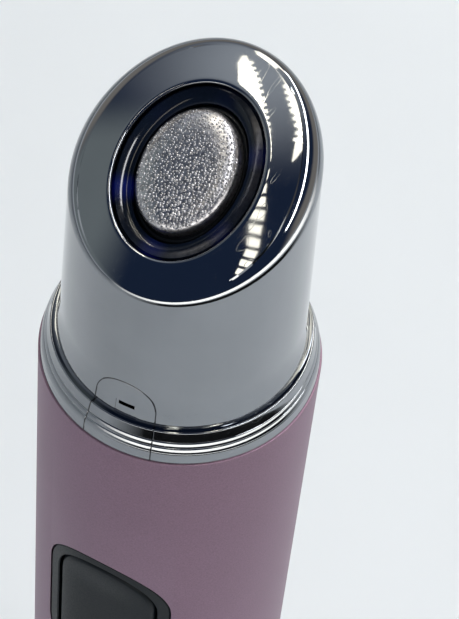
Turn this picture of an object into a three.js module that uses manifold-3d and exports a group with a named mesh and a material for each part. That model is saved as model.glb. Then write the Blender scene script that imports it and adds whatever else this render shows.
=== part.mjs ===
// Facial toning wand: a slanted chrome head with a light ring round its contact plate, on a
// round handle that holds the battery, the boards and the button.
// Millimetres, +Z up. The origin is the middle of the flat base, and the front faces -Y.
import * as THREE from 'three';
import { mergeVertices } from 'three/addons/utils/BufferGeometryUtils.js';
import Module from 'manifold-3d';

const wasm = await Module();
wasm.setup();

// Steps round the curved forms
const roundSteps = 48;
const faceSteps = 40;
const smallSteps = 12;
const sealSteps = 6;
const wireSteps = 6;

// Gaps shared by all pieces
const clearance = 0.3;
const fitGap = 0.12;
const seamGap = 0.05;
const overrun = 1;

// Handle tube
const handleRadius = 13;
const tubeWall = 1.2;
const handleTop = 115;

// End cap
const capBand = 5;
const capInset = 0.15;
const capEdge = 1;
const capFloor = 1.8;
const capSpigot = 6.2;
const capSpigotWall = 1.3;
const capSealHeight = 2.4;

// Head and its collar
const headStep = 1.8;
const headWall = 1.5;
const headDraftShare = 0.0263;
const collarInset = 0.15;
const bandHeight = 1.25;
const bandDraft = 0.12;
const beadRise = 0.55;
const beadInset = 0.24;
const beadBulge = 0.07;
const crestRise = 1.15;
const crestDraft = 0.25;
const crestWidth = 0.25;
const crestEdge = 0.12;
const wallBase = 3;
const skirtDepth = 8;
const skirtSealDepth = 4.5;
const sealHeight = 1.4;
const sealWall = 0.5;

// Slanted face of the head: a shallow dome, tilted to the front, with a rounded rim
const faceElevation = THREE.MathUtils.degToRad(60.2);
const faceHeight = 28.84;
const faceShift = 2.31;
const domeRadius = 31.1;
const rimRound = 1.73;
const rimSwingShare = 0.34;
const innerRound = 0.4;

// Snap window at the front of the head
const slotWidth = 1.53;
const slotHeight = 0.4;
const slotTop = 4.81;
const recessWidth = 2.08;
const recessHeight = 1.23;
const recessDepth = 0.25;
const pocketWidth = 2.4;
const pocketHeight = 1.2;
const pocketDepth = 0.9;

// Light ring in the face
const openingAcross = 6.36;
const openingAlong = 8.03;
const ringWidth = 1.2;
const ringRecess = 0.35;
const ringFall = 1;
const ringFlange = 0.9;
const ringBottom = 4;

// Contact plate and the black cup that insulates it
const plateAcross = 4.15;
const plateAlong = 5.56;
const plateCrown = 0.3;
const plateShoulder = 1;
const plateThickness = 1.2;
const studRadius = 1.5;
const studLength = 0.6;
const cupDrop = 1.8;
const cupFloor = 1;
const cupHole = 2.3;

// Contact spring under the plate
const springRadius = 1.3;
const springWire = 0.2;
const springTurns = 2.5;

// Light board
const ledCount = 6;
const ledSize = 1.6;
const ledHeight = 0.8;
const ledInset = 0.2;
const ledBoardMargin = 0.7;
const boardThickness = 1;

// Carrier inside the head
const carrierSlack = 0.35;
const carrierWall = 1.2;
const carrierPlate = 1.2;
const carrierDepth = 9.7;
const bossRadius = 2.2;
const bossHeight = 6.5;
const bossInset = 1.75;
const bossFront = 2;

// Vibration motor
const motorInset = 0.36;
const motorRadius = 3.5;
const motorLength = 12;
const shaftRadius = 0.5;
const shaftBite = 2.5;
const weightRadius = 2.8;
const weightHub = 1.1;
const weightLength = 4.2;
const sleeveWall = 1.05;
const pocketWall = 1;
const pocketLip = 0.9;
const ribThickness = 1.2;

// Button, its surround and the switch behind it
const buttonTop = 95;
const buttonLength = 24;
const buttonWidth = 13.5;
const surroundInset = 0.05;
const surroundWidth = 1.15;
const surroundDepth = 1.65;
const lipReach = 0.37;
const lipWidth = 0.8;
const lipDepth = 2.65;
const keyInset = 0.12;
const keyDepth = 2.6;
const keyFlange = 0.6;
const keyFlangeReach = 0.7;
const keyGap = 0.25;
const keyBossRadius = 1.4;
const keyBossHeight = 0.25;
const keyTravel = 0.5;
const switchSize = 6;
const switchThickness = 2;
const plungerRadius = 1.6;
const plungerLength = 1.3;

// Battery cell and its tabs
const cellRadius = 5;
const cellLength = 44;
const cellBottom = 24;
const tabThickness = 0.3;
const tabWidth = 4;
const tabLeg = 3;

// Chassis
const chassisSlack = 0.4;
const chassisWall = 1.5;
const chassisBottom = 11.6;
const chassisPlate = 1.5;
const chassisRib = 1.5;
const cellRibShares = [0.25, 0.75];
const switchRibReach = 3;
const coilRibReach = 9;
const postRadius = 2;
const lowerPost = 4.2;
const upperPost = 4.25;

// Main board and what it carries
const boardBottom = 14;
const boardTopGap = 3.5;
const chipSize = 5;
const chipThickness = 0.9;
const chipDrop = 25;
const coilRadius = 3;
const coilThickness = 3;
const coilDrop = 2.8;
const capacitorSize = 3.2;
const capacitorThickness = 1.6;
const capacitorDrop = 17;
const solderGap = 0.1;
const leafLength = 3.5;
const leafWidth = 4;
const leafThickness = 0.3;
const leafRise = 40;

// Charging socket and its board
const socketWidth = 8.94;
const socketThickness = 3.26;
const socketWall = 0.3;
const socketLength = 7.3;
const socketSink = 0.6;
const tongueWidth = 6.65;
const tongueThickness = 0.7;
const tongueBase = 1.8;
const tongueSink = 1;
const chargeBoardWidth = 12;
const chargeBoardTop = 17;
const chargeRib = 14.5;

// Screws
const screwHead = 1.6;
const screwHeadHeight = 1.2;
const screwShank = 0.8;
const screwLength = 6;

// Leads
const leadRadius = 0.45;
const leadAcross = 2.5;
const motorLeadAcross = 1.3;
const chargeLeadAcross = 3;
const leadSteps = 10;

// Finishes
const chrome = new THREE.MeshStandardMaterial({ color: 0xc4c8cc, roughness: 0.12, metalness: 1 });
const mauve = new THREE.MeshStandardMaterial({ color: 0x8a7484, roughness: 0.42, metalness: 0.6 });
const smoke = new THREE.MeshStandardMaterial({ color: 0x1c232d, roughness: 0.1, metalness: 0 });
const steel = new THREE.MeshStandardMaterial({ color: 0xa9abb0, roughness: 0.3, metalness: 1 });
const black = new THREE.MeshStandardMaterial({ color: 0x1e262c, roughness: 0.35, metalness: 0 });
const inner = new THREE.MeshStandardMaterial({ color: 0xd8d8d4, roughness: 0.6, metalness: 0 });
const rubber = new THREE.MeshStandardMaterial({ color: 0x2a2a2c, roughness: 0.8, metalness: 0 });
const laminate = new THREE.MeshStandardMaterial({ color: 0x1d5c3a, roughness: 0.5, metalness: 0 });
const emitter = new THREE.MeshStandardMaterial({ color: 0xe8e6c8, roughness: 0.3, metalness: 0 });
const nickel = new THREE.MeshStandardMaterial({ color: 0xb8b4a8, roughness: 0.35, metalness: 1 });
const brass = new THREE.MeshStandardMaterial({ color: 0xb5914a, roughness: 0.35, metalness: 1 });
const wrap = new THREE.MeshStandardMaterial({ color: 0x2f5f9a, roughness: 0.4, metalness: 0 });
const redLead = new THREE.MeshStandardMaterial({ color: 0xb02020, roughness: 0.5, metalness: 0 });
const blackLead = new THREE.MeshStandardMaterial({ color: 0x181818, roughness: 0.5, metalness: 0 });

// Sizes worked out from those above
const tubeBore = handleRadius - tubeWall;
const collarRadius = handleRadius - collarInset;
const skirtRadius = tubeBore - fitGap;
const headRadius = handleRadius - headStep;
const cavityRadius = headRadius - headWall;
const carrierBore = cavityRadius - carrierSlack - carrierWall;
const bossAcross = carrierBore - bossInset;
const motorBore = motorRadius + sleeveWall + 2 * fitGap;
const motorOffset = carrierBore - motorBore - pocketWall - motorInset;
const chassisRadius = tubeBore - chassisSlack;
const chassisBore = chassisRadius - chassisWall;
const buttonHeight = buttonTop - buttonLength / 2;
const faceNormal = new THREE.Vector3(0, -Math.cos(faceElevation), Math.sin(faceElevation));
const faceSlope = new THREE.Vector3(0, Math.sin(faceElevation), Math.cos(faceElevation));
const facePole = new THREE.Vector3(0, 0, handleTop + faceHeight).addScaledVector(faceSlope, -faceShift);
const domeCentre = facePole.clone().addScaledVector(faceNormal, -domeRadius);

// The stack under the face, as depths below its pole
const plateBottom = plateShoulder + plateThickness;
const studBottom = plateBottom + studLength;
const ledTop = ringBottom + clearance;
const ledBoardTop = ledTop + ledHeight;
const ledBoardBottom = ledBoardTop + boardThickness;
const carrierTop = ledBoardBottom + clearance;
const carrierUnder = carrierTop + carrierPlate;

// The stack behind the button, as distances from the wand's axis towards the front
const keyUnder = handleRadius - keyDepth;
const plungerTip = keyUnder - keyBossHeight - clearance;
const switchFront = plungerTip - keyTravel - seamGap;
const boardFront = switchFront - switchThickness;
const boardBack = boardFront - boardThickness;
const chassisFront = boardBack - clearance;
const frameWidth = buttonWidth - 2 * fitGap;
const lipTrim = lipWidth - lipReach;
const boardHalfWidth = frameWidth / 2 - lipTrim - clearance;
const boardTop = handleTop - carrierDepth - chassisPlate - boardTopGap;
const chassisTop = handleTop - carrierDepth - clearance;
const cellMiddle = (chassisBore - chassisFront) / 2;

// The motor hangs just below the carrier's slanted plate
const weightTop = slantHeight(carrierUnder, motorOffset - weightRadius) - clearance * 2;
const motorTop = weightTop - weightLength - clearance;
const motorBottom = motorTop - motorLength;

// Height of the plane that lies a depth below the face's pole, at a distance from the front
function slantHeight(depth, y) {
  return facePole.z - (depth + faceNormal.y * (y - facePole.y)) / faceNormal.z;
}

// A closed geometry as a solid that can be joined and cut
function solidOf(geometry) {
  const bare = new THREE.BufferGeometry();
  bare.setAttribute('position', geometry.getAttribute('position'));
  bare.setIndex(geometry.index);
  const merged = mergeVertices(bare);
  const corners = merged.index.array;
  const kept = [];
  for (let i = 0; i < corners.length; i += 3) {
    const [a, b, c] = corners.slice(i, i + 3);
    if (a !== b && b !== c && c !== a) kept.push(a, b, c);
  }
  return new wasm.Manifold(new wasm.Mesh({
    numProp: 3,
    vertProperties: new Float32Array(merged.getAttribute('position').array),
    triVerts: new Uint32Array(kept),
  }));
}

// A solid as a geometry
function geometryOf(solid) {
  const mesh = solid.getMesh();
  const geometry = new THREE.BufferGeometry();
  const places = new Float32Array(mesh.vertProperties);
  geometry.setAttribute('position', new THREE.BufferAttribute(places, 3));
  geometry.setIndex(new THREE.BufferAttribute(new Uint32Array(mesh.triVerts), 1));
  geometry.computeVertexNormals();
  return geometry;
}

function joined(first, ...others) {
  return others.reduce((whole, other) => whole.add(other), first);
}

function cut(first, ...others) {
  return others.reduce((whole, other) => whole.subtract(other), first);
}

// A form turned about +Z from points of radius and height, closed on the axis or on itself
function turnedGeometry(points, steps) {
  const outline = points.map(([radius, height]) => new THREE.Vector2(radius, height));
  const onAxis = points[0][0] === 0 && points[points.length - 1][0] === 0;
  if (!onAxis) outline.push(outline[0].clone());
  if (THREE.ShapeUtils.area(outline) < 0) outline.reverse();
  return new THREE.LatheGeometry(outline, steps).rotateX(Math.PI / 2);
}

function turned(points, steps = roundSteps) {
  return solidOf(turnedGeometry(points, steps));
}

// A disc or ring between two heights
function ring(outerRadius, innerRadius, low, high, steps = roundSteps) {
  return turned([[innerRadius, low], [outerRadius, low], [outerRadius, high], [innerRadius, high]], steps);
}

function disc(radius, low, high, steps = roundSteps) {
  return ring(radius, 0, low, high, steps);
}

// A box from its low and high corners
function box(x0, y0, z0, x1, y1, z1) {
  const geometry = new THREE.BoxGeometry(x1 - x0, y1 - y0, z1 - z0);
  return solidOf(geometry.translate((x0 + x1) / 2, (y0 + y1) / 2, (z0 + z1) / 2));
}

// A round bar along Y between two distances from the axis towards the front
function barToFront(radius, x, z, back, front, steps = smallSteps) {
  const bar = disc(radius, back, front, steps);
  return bar.rotate([90, 0, 0]).translate([x, 0, z]);
}

// A flat outline with round ends
function obround(width, height) {
  const long = Math.abs(height - width) / 2;
  const radius = Math.min(width, height) / 2;
  const shape = new THREE.Shape();
  if (height > width) {
    shape.absarc(0, long, radius, 0, Math.PI, false);
    shape.absarc(0, -long, radius, Math.PI, 2 * Math.PI, false);
  } else {
    shape.absarc(long, 0, radius, -Math.PI / 2, Math.PI / 2, false);
    shape.absarc(-long, 0, radius, Math.PI / 2, Math.PI * 3 / 2, false);
  }
  shape.closePath();
  return shape;
}

// An outline pushed up along +Z between two heights
function pushed(shape, low, high, steps = smallSteps / 2) {
  const options = { depth: high - low, bevelEnabled: false, curveSegments: steps };
  return solidOf(new THREE.ExtrudeGeometry(shape, options).translate(0, 0, low));
}

// The button's outline as a bar along Y, centred on the button
function buttonBar(width, length) {
  const bar = pushed(obround(width, length), 0, handleRadius + overrun, smallSteps);
  return bar.rotate([90, 0, 0]).translate([0, 0, buttonHeight]);
}

// A curved shell of the handle's front, between two depths below its surface, inside an outline
function buttonShell(width, length, shallow, deep) {
  const low = buttonHeight - buttonLength;
  const high = buttonHeight + buttonLength;
  const shell = ring(handleRadius - shallow, handleRadius - deep, low, high);
  return shell.intersect(buttonBar(width, length));
}

// Radius of the head's outer wall at a height
function wallRadius(z) {
  return headRadius - headDraftShare * Math.max(z - handleTop - wallBase, 0);
}

// One half-section of the head's form at an azimuth, as points of radius and height
function headSection(inset, bottom, azimuth) {
  const filletSteps = inset > 0 ? 2 : 5;
  const domeSteps = inset > 0 ? 3 : 5;
  const settling = 6;
  const sphere = domeRadius - inset;
  const middle = domeCentre.y * Math.sin(azimuth);
  const aside = domeCentre.y * Math.cos(azimuth);
  const swing = 1 - rimSwingShare * Math.cos(2 * azimuth + Math.PI);
  const round = Math.max(rimRound * swing - inset, innerRound);
  const parallel = Math.sqrt((sphere - round) ** 2 - aside ** 2);
  let z = handleTop + faceHeight;
  let r = headRadius;
  for (let pass = 0; pass < settling; pass += 1) {
    r = wallRadius(z) - inset - round;
    z = domeCentre.z + Math.sqrt(parallel ** 2 - (r - middle) ** 2);
  }
  const low = handleTop + wallBase;
  const points = [[0, bottom], [headRadius - inset, bottom], [headRadius - inset, low]];
  const start = Math.atan(headDraftShare);
  const end = Math.atan2(z - domeCentre.z, r - middle);
  for (let i = 0; i <= filletSteps; i += 1) {
    const angle = start + (end - start) * i / filletSteps;
    points.push([r + round * Math.cos(angle), z + round * Math.sin(angle)]);
  }
  const rim = r + round * Math.cos(end);
  for (let i = 1; i <= domeSteps; i += 1) {
    const radius = rim * (1 - i / domeSteps);
    const rise = Math.sqrt(sphere ** 2 - aside ** 2 - (radius - middle) ** 2);
    points.push([radius, domeCentre.z + rise]);
  }
  return points;
}

// The head's whole outer form, or one that lies evenly inside it, down to a flat bottom
function headForm(inset, bottom) {
  const count = headSection(inset, bottom, 0).length;
  const unit = Array.from({ length: count }, (_, i) => [i > 0 && i < count - 1 ? 1 : 0, i]);
  const geometry = turnedGeometry(unit, roundSteps);
  const places = geometry.getAttribute('position');
  for (let i = 0; i <= roundSteps; i += 1) {
    const azimuth = 2 * Math.PI * i / roundSteps - Math.PI / 2;
    headSection(inset, bottom, azimuth).forEach(([radius, z], j) => {
      const x = radius * Math.cos(azimuth);
      const y = radius * Math.sin(azimuth);
      places.setXYZ(i * count + j, x, y, z);
    });
  }
  return solidOf(geometry);
}

// How far the face's dome lies below its pole's plane
function sag(x, y) {
  return Math.sqrt(domeRadius ** 2 - x ** 2 - y ** 2) - domeRadius;
}

// An oval form turned about the face's pole, from points of radius across and height. Points
// above the given level follow the dome.
function oval(across, along, points, draped = Infinity) {
  const geometry = turnedGeometry(points, faceSteps);
  const places = geometry.getAttribute('position');
  for (let i = 0; i < places.count; i += 1) {
    const x = places.getX(i);
    const y = places.getY(i);
    const z = places.getZ(i);
    const radius = Math.hypot(x, y);
    const stretch = radius > across ? (radius + along - across) / radius : along / across;
    const drop = z > draped ? sag(x, y * stretch) : 0;
    places.setXYZ(i, x, y * stretch, z + drop);
  }
  return solidOf(geometry);
}

// Turns a solid made round the face's pole into its place on the wand
function toFace(solid) {
  const tilt = THREE.MathUtils.radToDeg(Math.PI / 2 - faceElevation);
  return solid.rotate([tilt, 0, 0]).translate(facePole.toArray());
}

// Everything that lies above the plane a depth below the face's pole
function aboveFace(depth) {
  const reach = 3 * handleRadius;
  return toFace(box(-reach, -reach, -depth, reach, reach, reach));
}

const wand = new THREE.Group();

// Adds one named piece, from a solid or a geometry
function piece(name, form, material, parent = wand) {
  const geometry = form.isBufferGeometry ? form : geometryOf(form);
  const mesh = new THREE.Mesh(geometry, material);
  mesh.name = name;
  parent.add(mesh);
  return mesh;
}

// A rounded bead that leans inwards, as profile points from its lower edge up
function bead(outer, low) {
  const beadSteps = 4;
  const lean = Math.atan2(beadInset, beadRise);
  return Array.from({ length: beadSteps + 1 }, (_, i) => {
    const share = i / beadSteps;
    const swell = beadBulge * Math.sin(Math.PI * share);
    const out = outer - beadInset * share + swell * Math.cos(lean);
    return [out, low + beadRise * share + swell * Math.sin(lean)];
  });
}

// A groove for a seal round a spigot, and the seal that fills it
function sealSeat(spigotRadius, innerRadius, low) {
  const floor = innerRadius + sealWall;
  const groove = ring(spigotRadius + overrun, floor, low, low + sealHeight);
  const radius = (tubeBore - floor) / 2 - fitGap;
  const half = Math.min(radius, sealHeight / 2 - fitGap);
  const outline = Array.from({ length: sealSteps }, (_, i) => {
    const angle = 2 * Math.PI * i / sealSteps;
    const middle = (tubeBore + floor) / 2;
    return [middle + radius * Math.cos(angle), low + sealHeight / 2 + half * Math.sin(angle)];
  });
  return { groove, seal: turned(outline) };
}

// A screw along +Z with its head's outer face at zero
function screw() {
  const neck = screwHeadHeight;
  const tip = screwHeadHeight + screwLength;
  return turned([
    [0, 0], [screwHead, 0], [screwHead, neck], [screwShank, neck], [screwShank, tip], [0, tip],
  ], smallSteps);
}

// A lead along a smooth curve through points
function lead(points) {
  const route = new THREE.CatmullRomCurve3(points.map((point) => new THREE.Vector3(...point)));
  const section = new THREE.Shape();
  for (let i = 0; i < wireSteps; i += 1) {
    const angle = 2 * Math.PI * i / wireSteps;
    const x = leadRadius * Math.cos(angle);
    const y = leadRadius * Math.sin(angle);
    if (i === 0) section.moveTo(x, y);
    else section.lineTo(x, y);
  }
  section.closePath();
  return new THREE.ExtrudeGeometry(section, { steps: leadSteps, extrudePath: route });
}

// Handle tube with the button's window in its front
function makeHandle() {
  const tube = ring(handleRadius, tubeBore, capBand + seamGap, handleTop - seamGap);
  const windowBar = buttonBar(buttonWidth, buttonLength).intersect(
    box(-handleRadius, -handleRadius - overrun, 0, handleRadius, 0, handleTop),
  );
  piece('handle_tube', cut(tube, windowBar), mauve);
}

// End cap with its spigot, seal and the socket's window
function makeEndCap() {
  const edgeSteps = 4;
  const outer = handleRadius - capInset;
  const corner = Array.from({ length: edgeSteps + 1 }, (_, i) => {
    const angle = Math.PI / 2 * (i / edgeSteps - 1);
    return [outer - capEdge + capEdge * Math.cos(angle), capEdge + capEdge * Math.sin(angle)];
  });
  const spigotTop = capBand + capSpigot;
  const hollow = skirtRadius - capSpigotWall;
  const shell = turned([
    [0, 0], ...corner, [outer, capBand], [skirtRadius, capBand], [skirtRadius, spigotTop],
    [hollow, spigotTop], [hollow, capFloor], [0, capFloor],
  ]);
  const { groove, seal } = sealSeat(skirtRadius, hollow, capBand + capSealHeight);
  const opening = obround(socketWidth + 2 * clearance, socketThickness + 2 * clearance);
  piece('end_cap', cut(shell, groove, pushed(opening, -overrun, capFloor + overrun)), chrome);
  piece('base_seal', seal, rubber);
}

// Head shell: collar, wall and slanted face in one moulding
function makeHeadShell() {
  const floor = handleTop + bandHeight;
  const skirtBottom = handleTop - skirtDepth;
  const bandTop = collarRadius - bandDraft;
  const crestOuter = bandTop - 2 * beadInset - crestDraft;
  const crestInner = crestOuter - crestWidth;
  const crestTop = floor + 2 * beadRise + crestRise;
  const within = headRadius - overrun;
  const fallFoot = crestTop - (crestInner - within);
  const collar = turned([
    [0, skirtBottom], [skirtRadius, skirtBottom], [skirtRadius, handleTop], [collarRadius, handleTop],
    ...bead(bandTop, floor), ...bead(bandTop - beadInset, floor + beadRise).slice(1),
    [crestOuter, crestTop - crestEdge], [crestOuter - crestEdge, crestTop], [crestInner, crestTop],
    [within, fallFoot], [0, fallFoot],
  ]);
  const { groove, seal } = sealSeat(skirtRadius, cavityRadius, handleTop - skirtSealDepth);
  const cavity = headForm(headWall, skirtBottom - overrun);
  const opening = toFace(oval(openingAcross, openingAlong, [
    [0, -ringBottom], [openingAcross, -ringBottom], [openingAcross, ringBottom], [0, ringBottom],
  ]));
  const top = handleTop + slotTop;
  const front = -headRadius - overrun;
  const slot = box(-slotWidth / 2, front, top - slotHeight, slotWidth / 2, -cavityRadius + overrun, top);
  const recessFloor = -headRadius + recessDepth;
  const recess = box(-recessWidth / 2, front, top - recessHeight, recessWidth / 2, recessFloor, top);
  const pocketBack = -cavityRadius - pocketDepth;
  const pocketLow = top - pocketHeight;
  const pocket = box(-pocketWidth / 2, pocketBack, pocketLow, pocketWidth / 2, -cavityRadius + overrun, top);
  const shell = joined(collar, headForm(0, handleTop));
  piece('head_shell', cut(shell, cavity, groove, opening, slot, recess, pocket), chrome);
  piece('head_seal', seal, rubber);
}

// Everything under the face, built flat round the pole and then tilted into the head
function makeFace() {
  const face = new THREE.Group();
  face.position.copy(facePole);
  face.rotation.x = Math.PI / 2 - faceElevation;
  wand.add(face);
  const flangeEdge = openingAcross + ringFlange;
  const ringEdge = openingAcross - fitGap;
  const ringHole = openingAcross - ringWidth;
  const flangeTop = -headWall - clearance - ringRecess;
  const ringAlong = openingAlong - ringWidth;
  const flat = -ringBottom + seamGap;
  const room = makeRoom();
  const lens = oval(ringHole, ringAlong, [
    [ringHole, -ringBottom], [ringEdge, -ringBottom], [ringEdge, -ringRecess],
    [ringHole, -ringRecess - ringFall],
  ], flat);
  const flange = oval(ringHole, ringAlong, [
    [ringHole + fitGap, -ringBottom], [flangeEdge, -ringBottom], [flangeEdge, flangeTop],
    [ringHole + fitGap, flangeTop],
  ], flat);
  piece('light_ring', lens.add(flange.intersect(room)), smoke, face);

  // Cup between the ring and the plate
  const cupAcross = ringHole - fitGap;
  const cupAlong = ringAlong - fitGap;
  const cupBottom = -ledBoardTop + clearance;
  const body = oval(cupAcross, cupAlong, [
    [0, cupBottom], [cupAcross, cupBottom], [cupAcross, -cupDrop], [0, -cupDrop],
  ], -plateBottom);
  const seatAcross = plateAcross + fitGap;
  const seatAlong = plateAlong + fitGap;
  const seatFloor = -plateBottom - clearance;
  const seat = oval(seatAcross, seatAlong, [
    [0, seatFloor], [seatAcross, seatFloor], [seatAcross, 0], [0, 0],
  ]);
  const well = disc(cupHole, cupBottom - overrun, seatFloor - cupFloor, smallSteps);
  const hole = disc(studRadius * plateAlong / plateAcross + clearance, cupBottom - overrun, 0, smallSteps);
  piece('electrode_cup', cut(body, seat, well, hole), black, face);

  // Contact plate with its stud
  const shoulderShares = [1, 0.93, 0.8, 0.6, 0.35];
  const shoulder = shoulderShares.map((share) => {
    const rise = (plateCrown + plateShoulder) * Math.sqrt(1 - share ** 3);
    return [plateAcross * share, -plateShoulder + rise];
  });
  piece('electrode', oval(plateAcross, plateAlong, [
    [0, -studBottom], [studRadius, -studBottom], [studRadius, -plateBottom],
    [plateAcross, -plateBottom], ...shoulder, [0, plateCrown],
  ]), steel, face);

  // Spring that carries the current from the light board to the stud
  const springTop = -studBottom - clearance - springWire;
  const springBottom = -ledBoardTop + clearance + springWire;
  const turnSteps = 8;
  const coil = new THREE.Curve();
  coil.getPoint = (t) => {
    const angle = 2 * Math.PI * springTurns * t;
    const z = springBottom + (springTop - springBottom) * t;
    return new THREE.Vector3(springRadius * Math.cos(angle), springRadius * Math.sin(angle), z);
  };
  const wire = new THREE.Shape();
  wire.absarc(0, 0, springWire, 0, 2 * Math.PI, false);
  piece('contact_spring', new THREE.ExtrudeGeometry(wire, {
    steps: turnSteps * springTurns, extrudePath: coil, curveSegments: wireSteps,
  }), nickel, face);

  // Light board and its emitters
  const edge = openingAcross + ledBoardMargin;
  const plate = oval(openingAcross, openingAlong, [
    [0, -ledBoardBottom], [edge, -ledBoardBottom], [edge, -ledBoardTop], [0, -ledBoardTop],
  ]);
  piece('led_board', plate.intersect(room), laminate, face);
  for (let i = 0; i < ledCount; i += 1) {
    const angle = 2 * Math.PI * (i + 1 / 2) / ledCount;
    const x = (openingAcross - ledInset) * Math.cos(angle);
    const y = (openingAlong - ledInset) * Math.sin(angle);
    const led = new THREE.BoxGeometry(ledSize, ledSize, ledHeight - seamGap);
    const mesh = piece(`led_${i + 1}`, led, emitter, face);
    mesh.position.set(x, y, -ledTop - ledHeight / 2);
  }
}

// The room inside the head, in the face's own frame
function makeRoom() {
  const tilt = THREE.MathUtils.radToDeg(Math.PI / 2 - faceElevation);
  const room = headForm(headWall + clearance, handleTop - skirtDepth);
  return room.translate(facePole.clone().negate().toArray()).rotate([-tilt, 0, 0]);
}

// Carrier inside the head: a cup under the light board, with the motor's pocket and a snap hook
function makeCarrier() {
  const bottom = handleTop - carrierDepth;
  const inset = headWall + carrierSlack;
  const outer = cut(headForm(inset, bottom), aboveFace(carrierTop));
  const hollow = cut(headForm(inset + carrierWall, bottom - overrun), aboveFace(carrierUnder));
  const wall = motorBore + pocketWall;
  const low = motorBottom + overrun;
  const lip = motorTop + clearance;
  const pocket = turned([
    [wall, low], [wall, lip + pocketLip], [weightRadius + clearance, lip + pocketLip],
    [weightRadius + clearance, lip], [motorBore, lip], [motorBore, low],
  ]).translate([0, motorOffset, 0]);
  const halfRib = ribThickness / 2;
  const ribReach = carrierBore + carrierWall / 2;
  const sideReach = Math.sqrt(ribReach ** 2 - motorOffset ** 2);
  const ribInner = motorBore + pocketWall / 2;
  const ribs = [
    box(-sideReach, motorOffset - halfRib, low, -ribInner, motorOffset + halfRib, motorTop),
    box(ribInner, motorOffset - halfRib, low, sideReach, motorOffset + halfRib, motorTop),
    box(-halfRib, -ribReach, low, halfRib, motorOffset - ribInner, motorTop - motorLength / 3),
  ];
  const bosses = [-bossAcross, bossAcross].map(
    (x) => disc(bossRadius, bottom, bottom + bossHeight, smallSteps).translate([x, -bossFront, 0]),
  );
  const bossBores = [-bossAcross, bossAcross].map((x) => {
    const bossBore = disc(screwShank + fitGap, bottom - overrun, bottom + bossHeight, smallSteps);
    return bossBore.translate([x, -bossFront, 0]);
  });
  const top = handleTop + slotTop - fitGap;
  const hookLow = handleTop + slotTop - pocketHeight + fitGap;
  const halfHook = pocketWidth / 2 - fitGap;
  const hookFront = -cavityRadius - pocketDepth + fitGap;
  const hook = box(-halfHook, hookFront, hookLow, halfHook, -carrierBore, top);
  const shell = joined(cut(outer, hollow), pocket, ...ribs, ...bosses, hook);
  const leadHoles = [-leadAcross, leadAcross].map((x) => {
    const hole = disc(leadRadius * 2, low, facePole.z, smallSteps);
    return hole.translate([x, -boardMiddle(), 0]);
  });
  const trim = headForm(headWall - pocketDepth + fitGap, bottom - overrun);
  piece('head_carrier', cut(shell, ...bossBores, ...leadHoles).intersect(trim), inner);
}

// Distance from the axis to the middle of the main board's thickness
function boardMiddle() {
  return (boardFront + boardBack) / 2;
}

// Vibration motor in its rubber sleeve, with the shaft and off-centre weight that it spins
function makeMotor() {
  const motor = new THREE.Group();
  motor.position.set(0, motorOffset, 0);
  wand.add(motor);
  const can = disc(motorRadius, motorBottom, motorTop, smallSteps * 2);
  const bearingLow = motorTop - shaftBite - clearance;
  const bearing = disc(shaftRadius + clearance, bearingLow, motorTop + overrun, smallSteps);
  piece('vibration_motor', cut(can, bearing), steel, motor);
  piece('motor_shaft', disc(shaftRadius, motorTop - shaftBite, weightTop, smallSteps), nickel, motor);
  const half = new THREE.Shape();
  half.absarc(0, 0, weightRadius, 0, Math.PI, false);
  half.absarc(0, 0, weightHub, Math.PI, 2 * Math.PI, false);
  half.closePath();
  const weight = pushed(half, motorTop + clearance, weightTop);
  const bore = disc(shaftRadius + seamGap, motorTop, weightTop + overrun, smallSteps);
  piece('eccentric_weight', cut(weight, bore), brass, motor);
  const sleeveLow = motorBottom + overrun + clearance;
  const sleeveInner = motorRadius + fitGap;
  piece('motor_sleeve', ring(
    sleeveInner + sleeveWall, sleeveInner, sleeveLow, motorTop - clearance, smallSteps * 2,
  ), rubber, motor);
}

// Outline that fills the chassis from its back to the main board
function chassisFill(low, high) {
  const middle = chassisRadius - seamGap;
  const reach = handleRadius + overrun;
  return disc(middle, low, high).intersect(box(-reach, -chassisFront, low, reach, reach, high));
}

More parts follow.
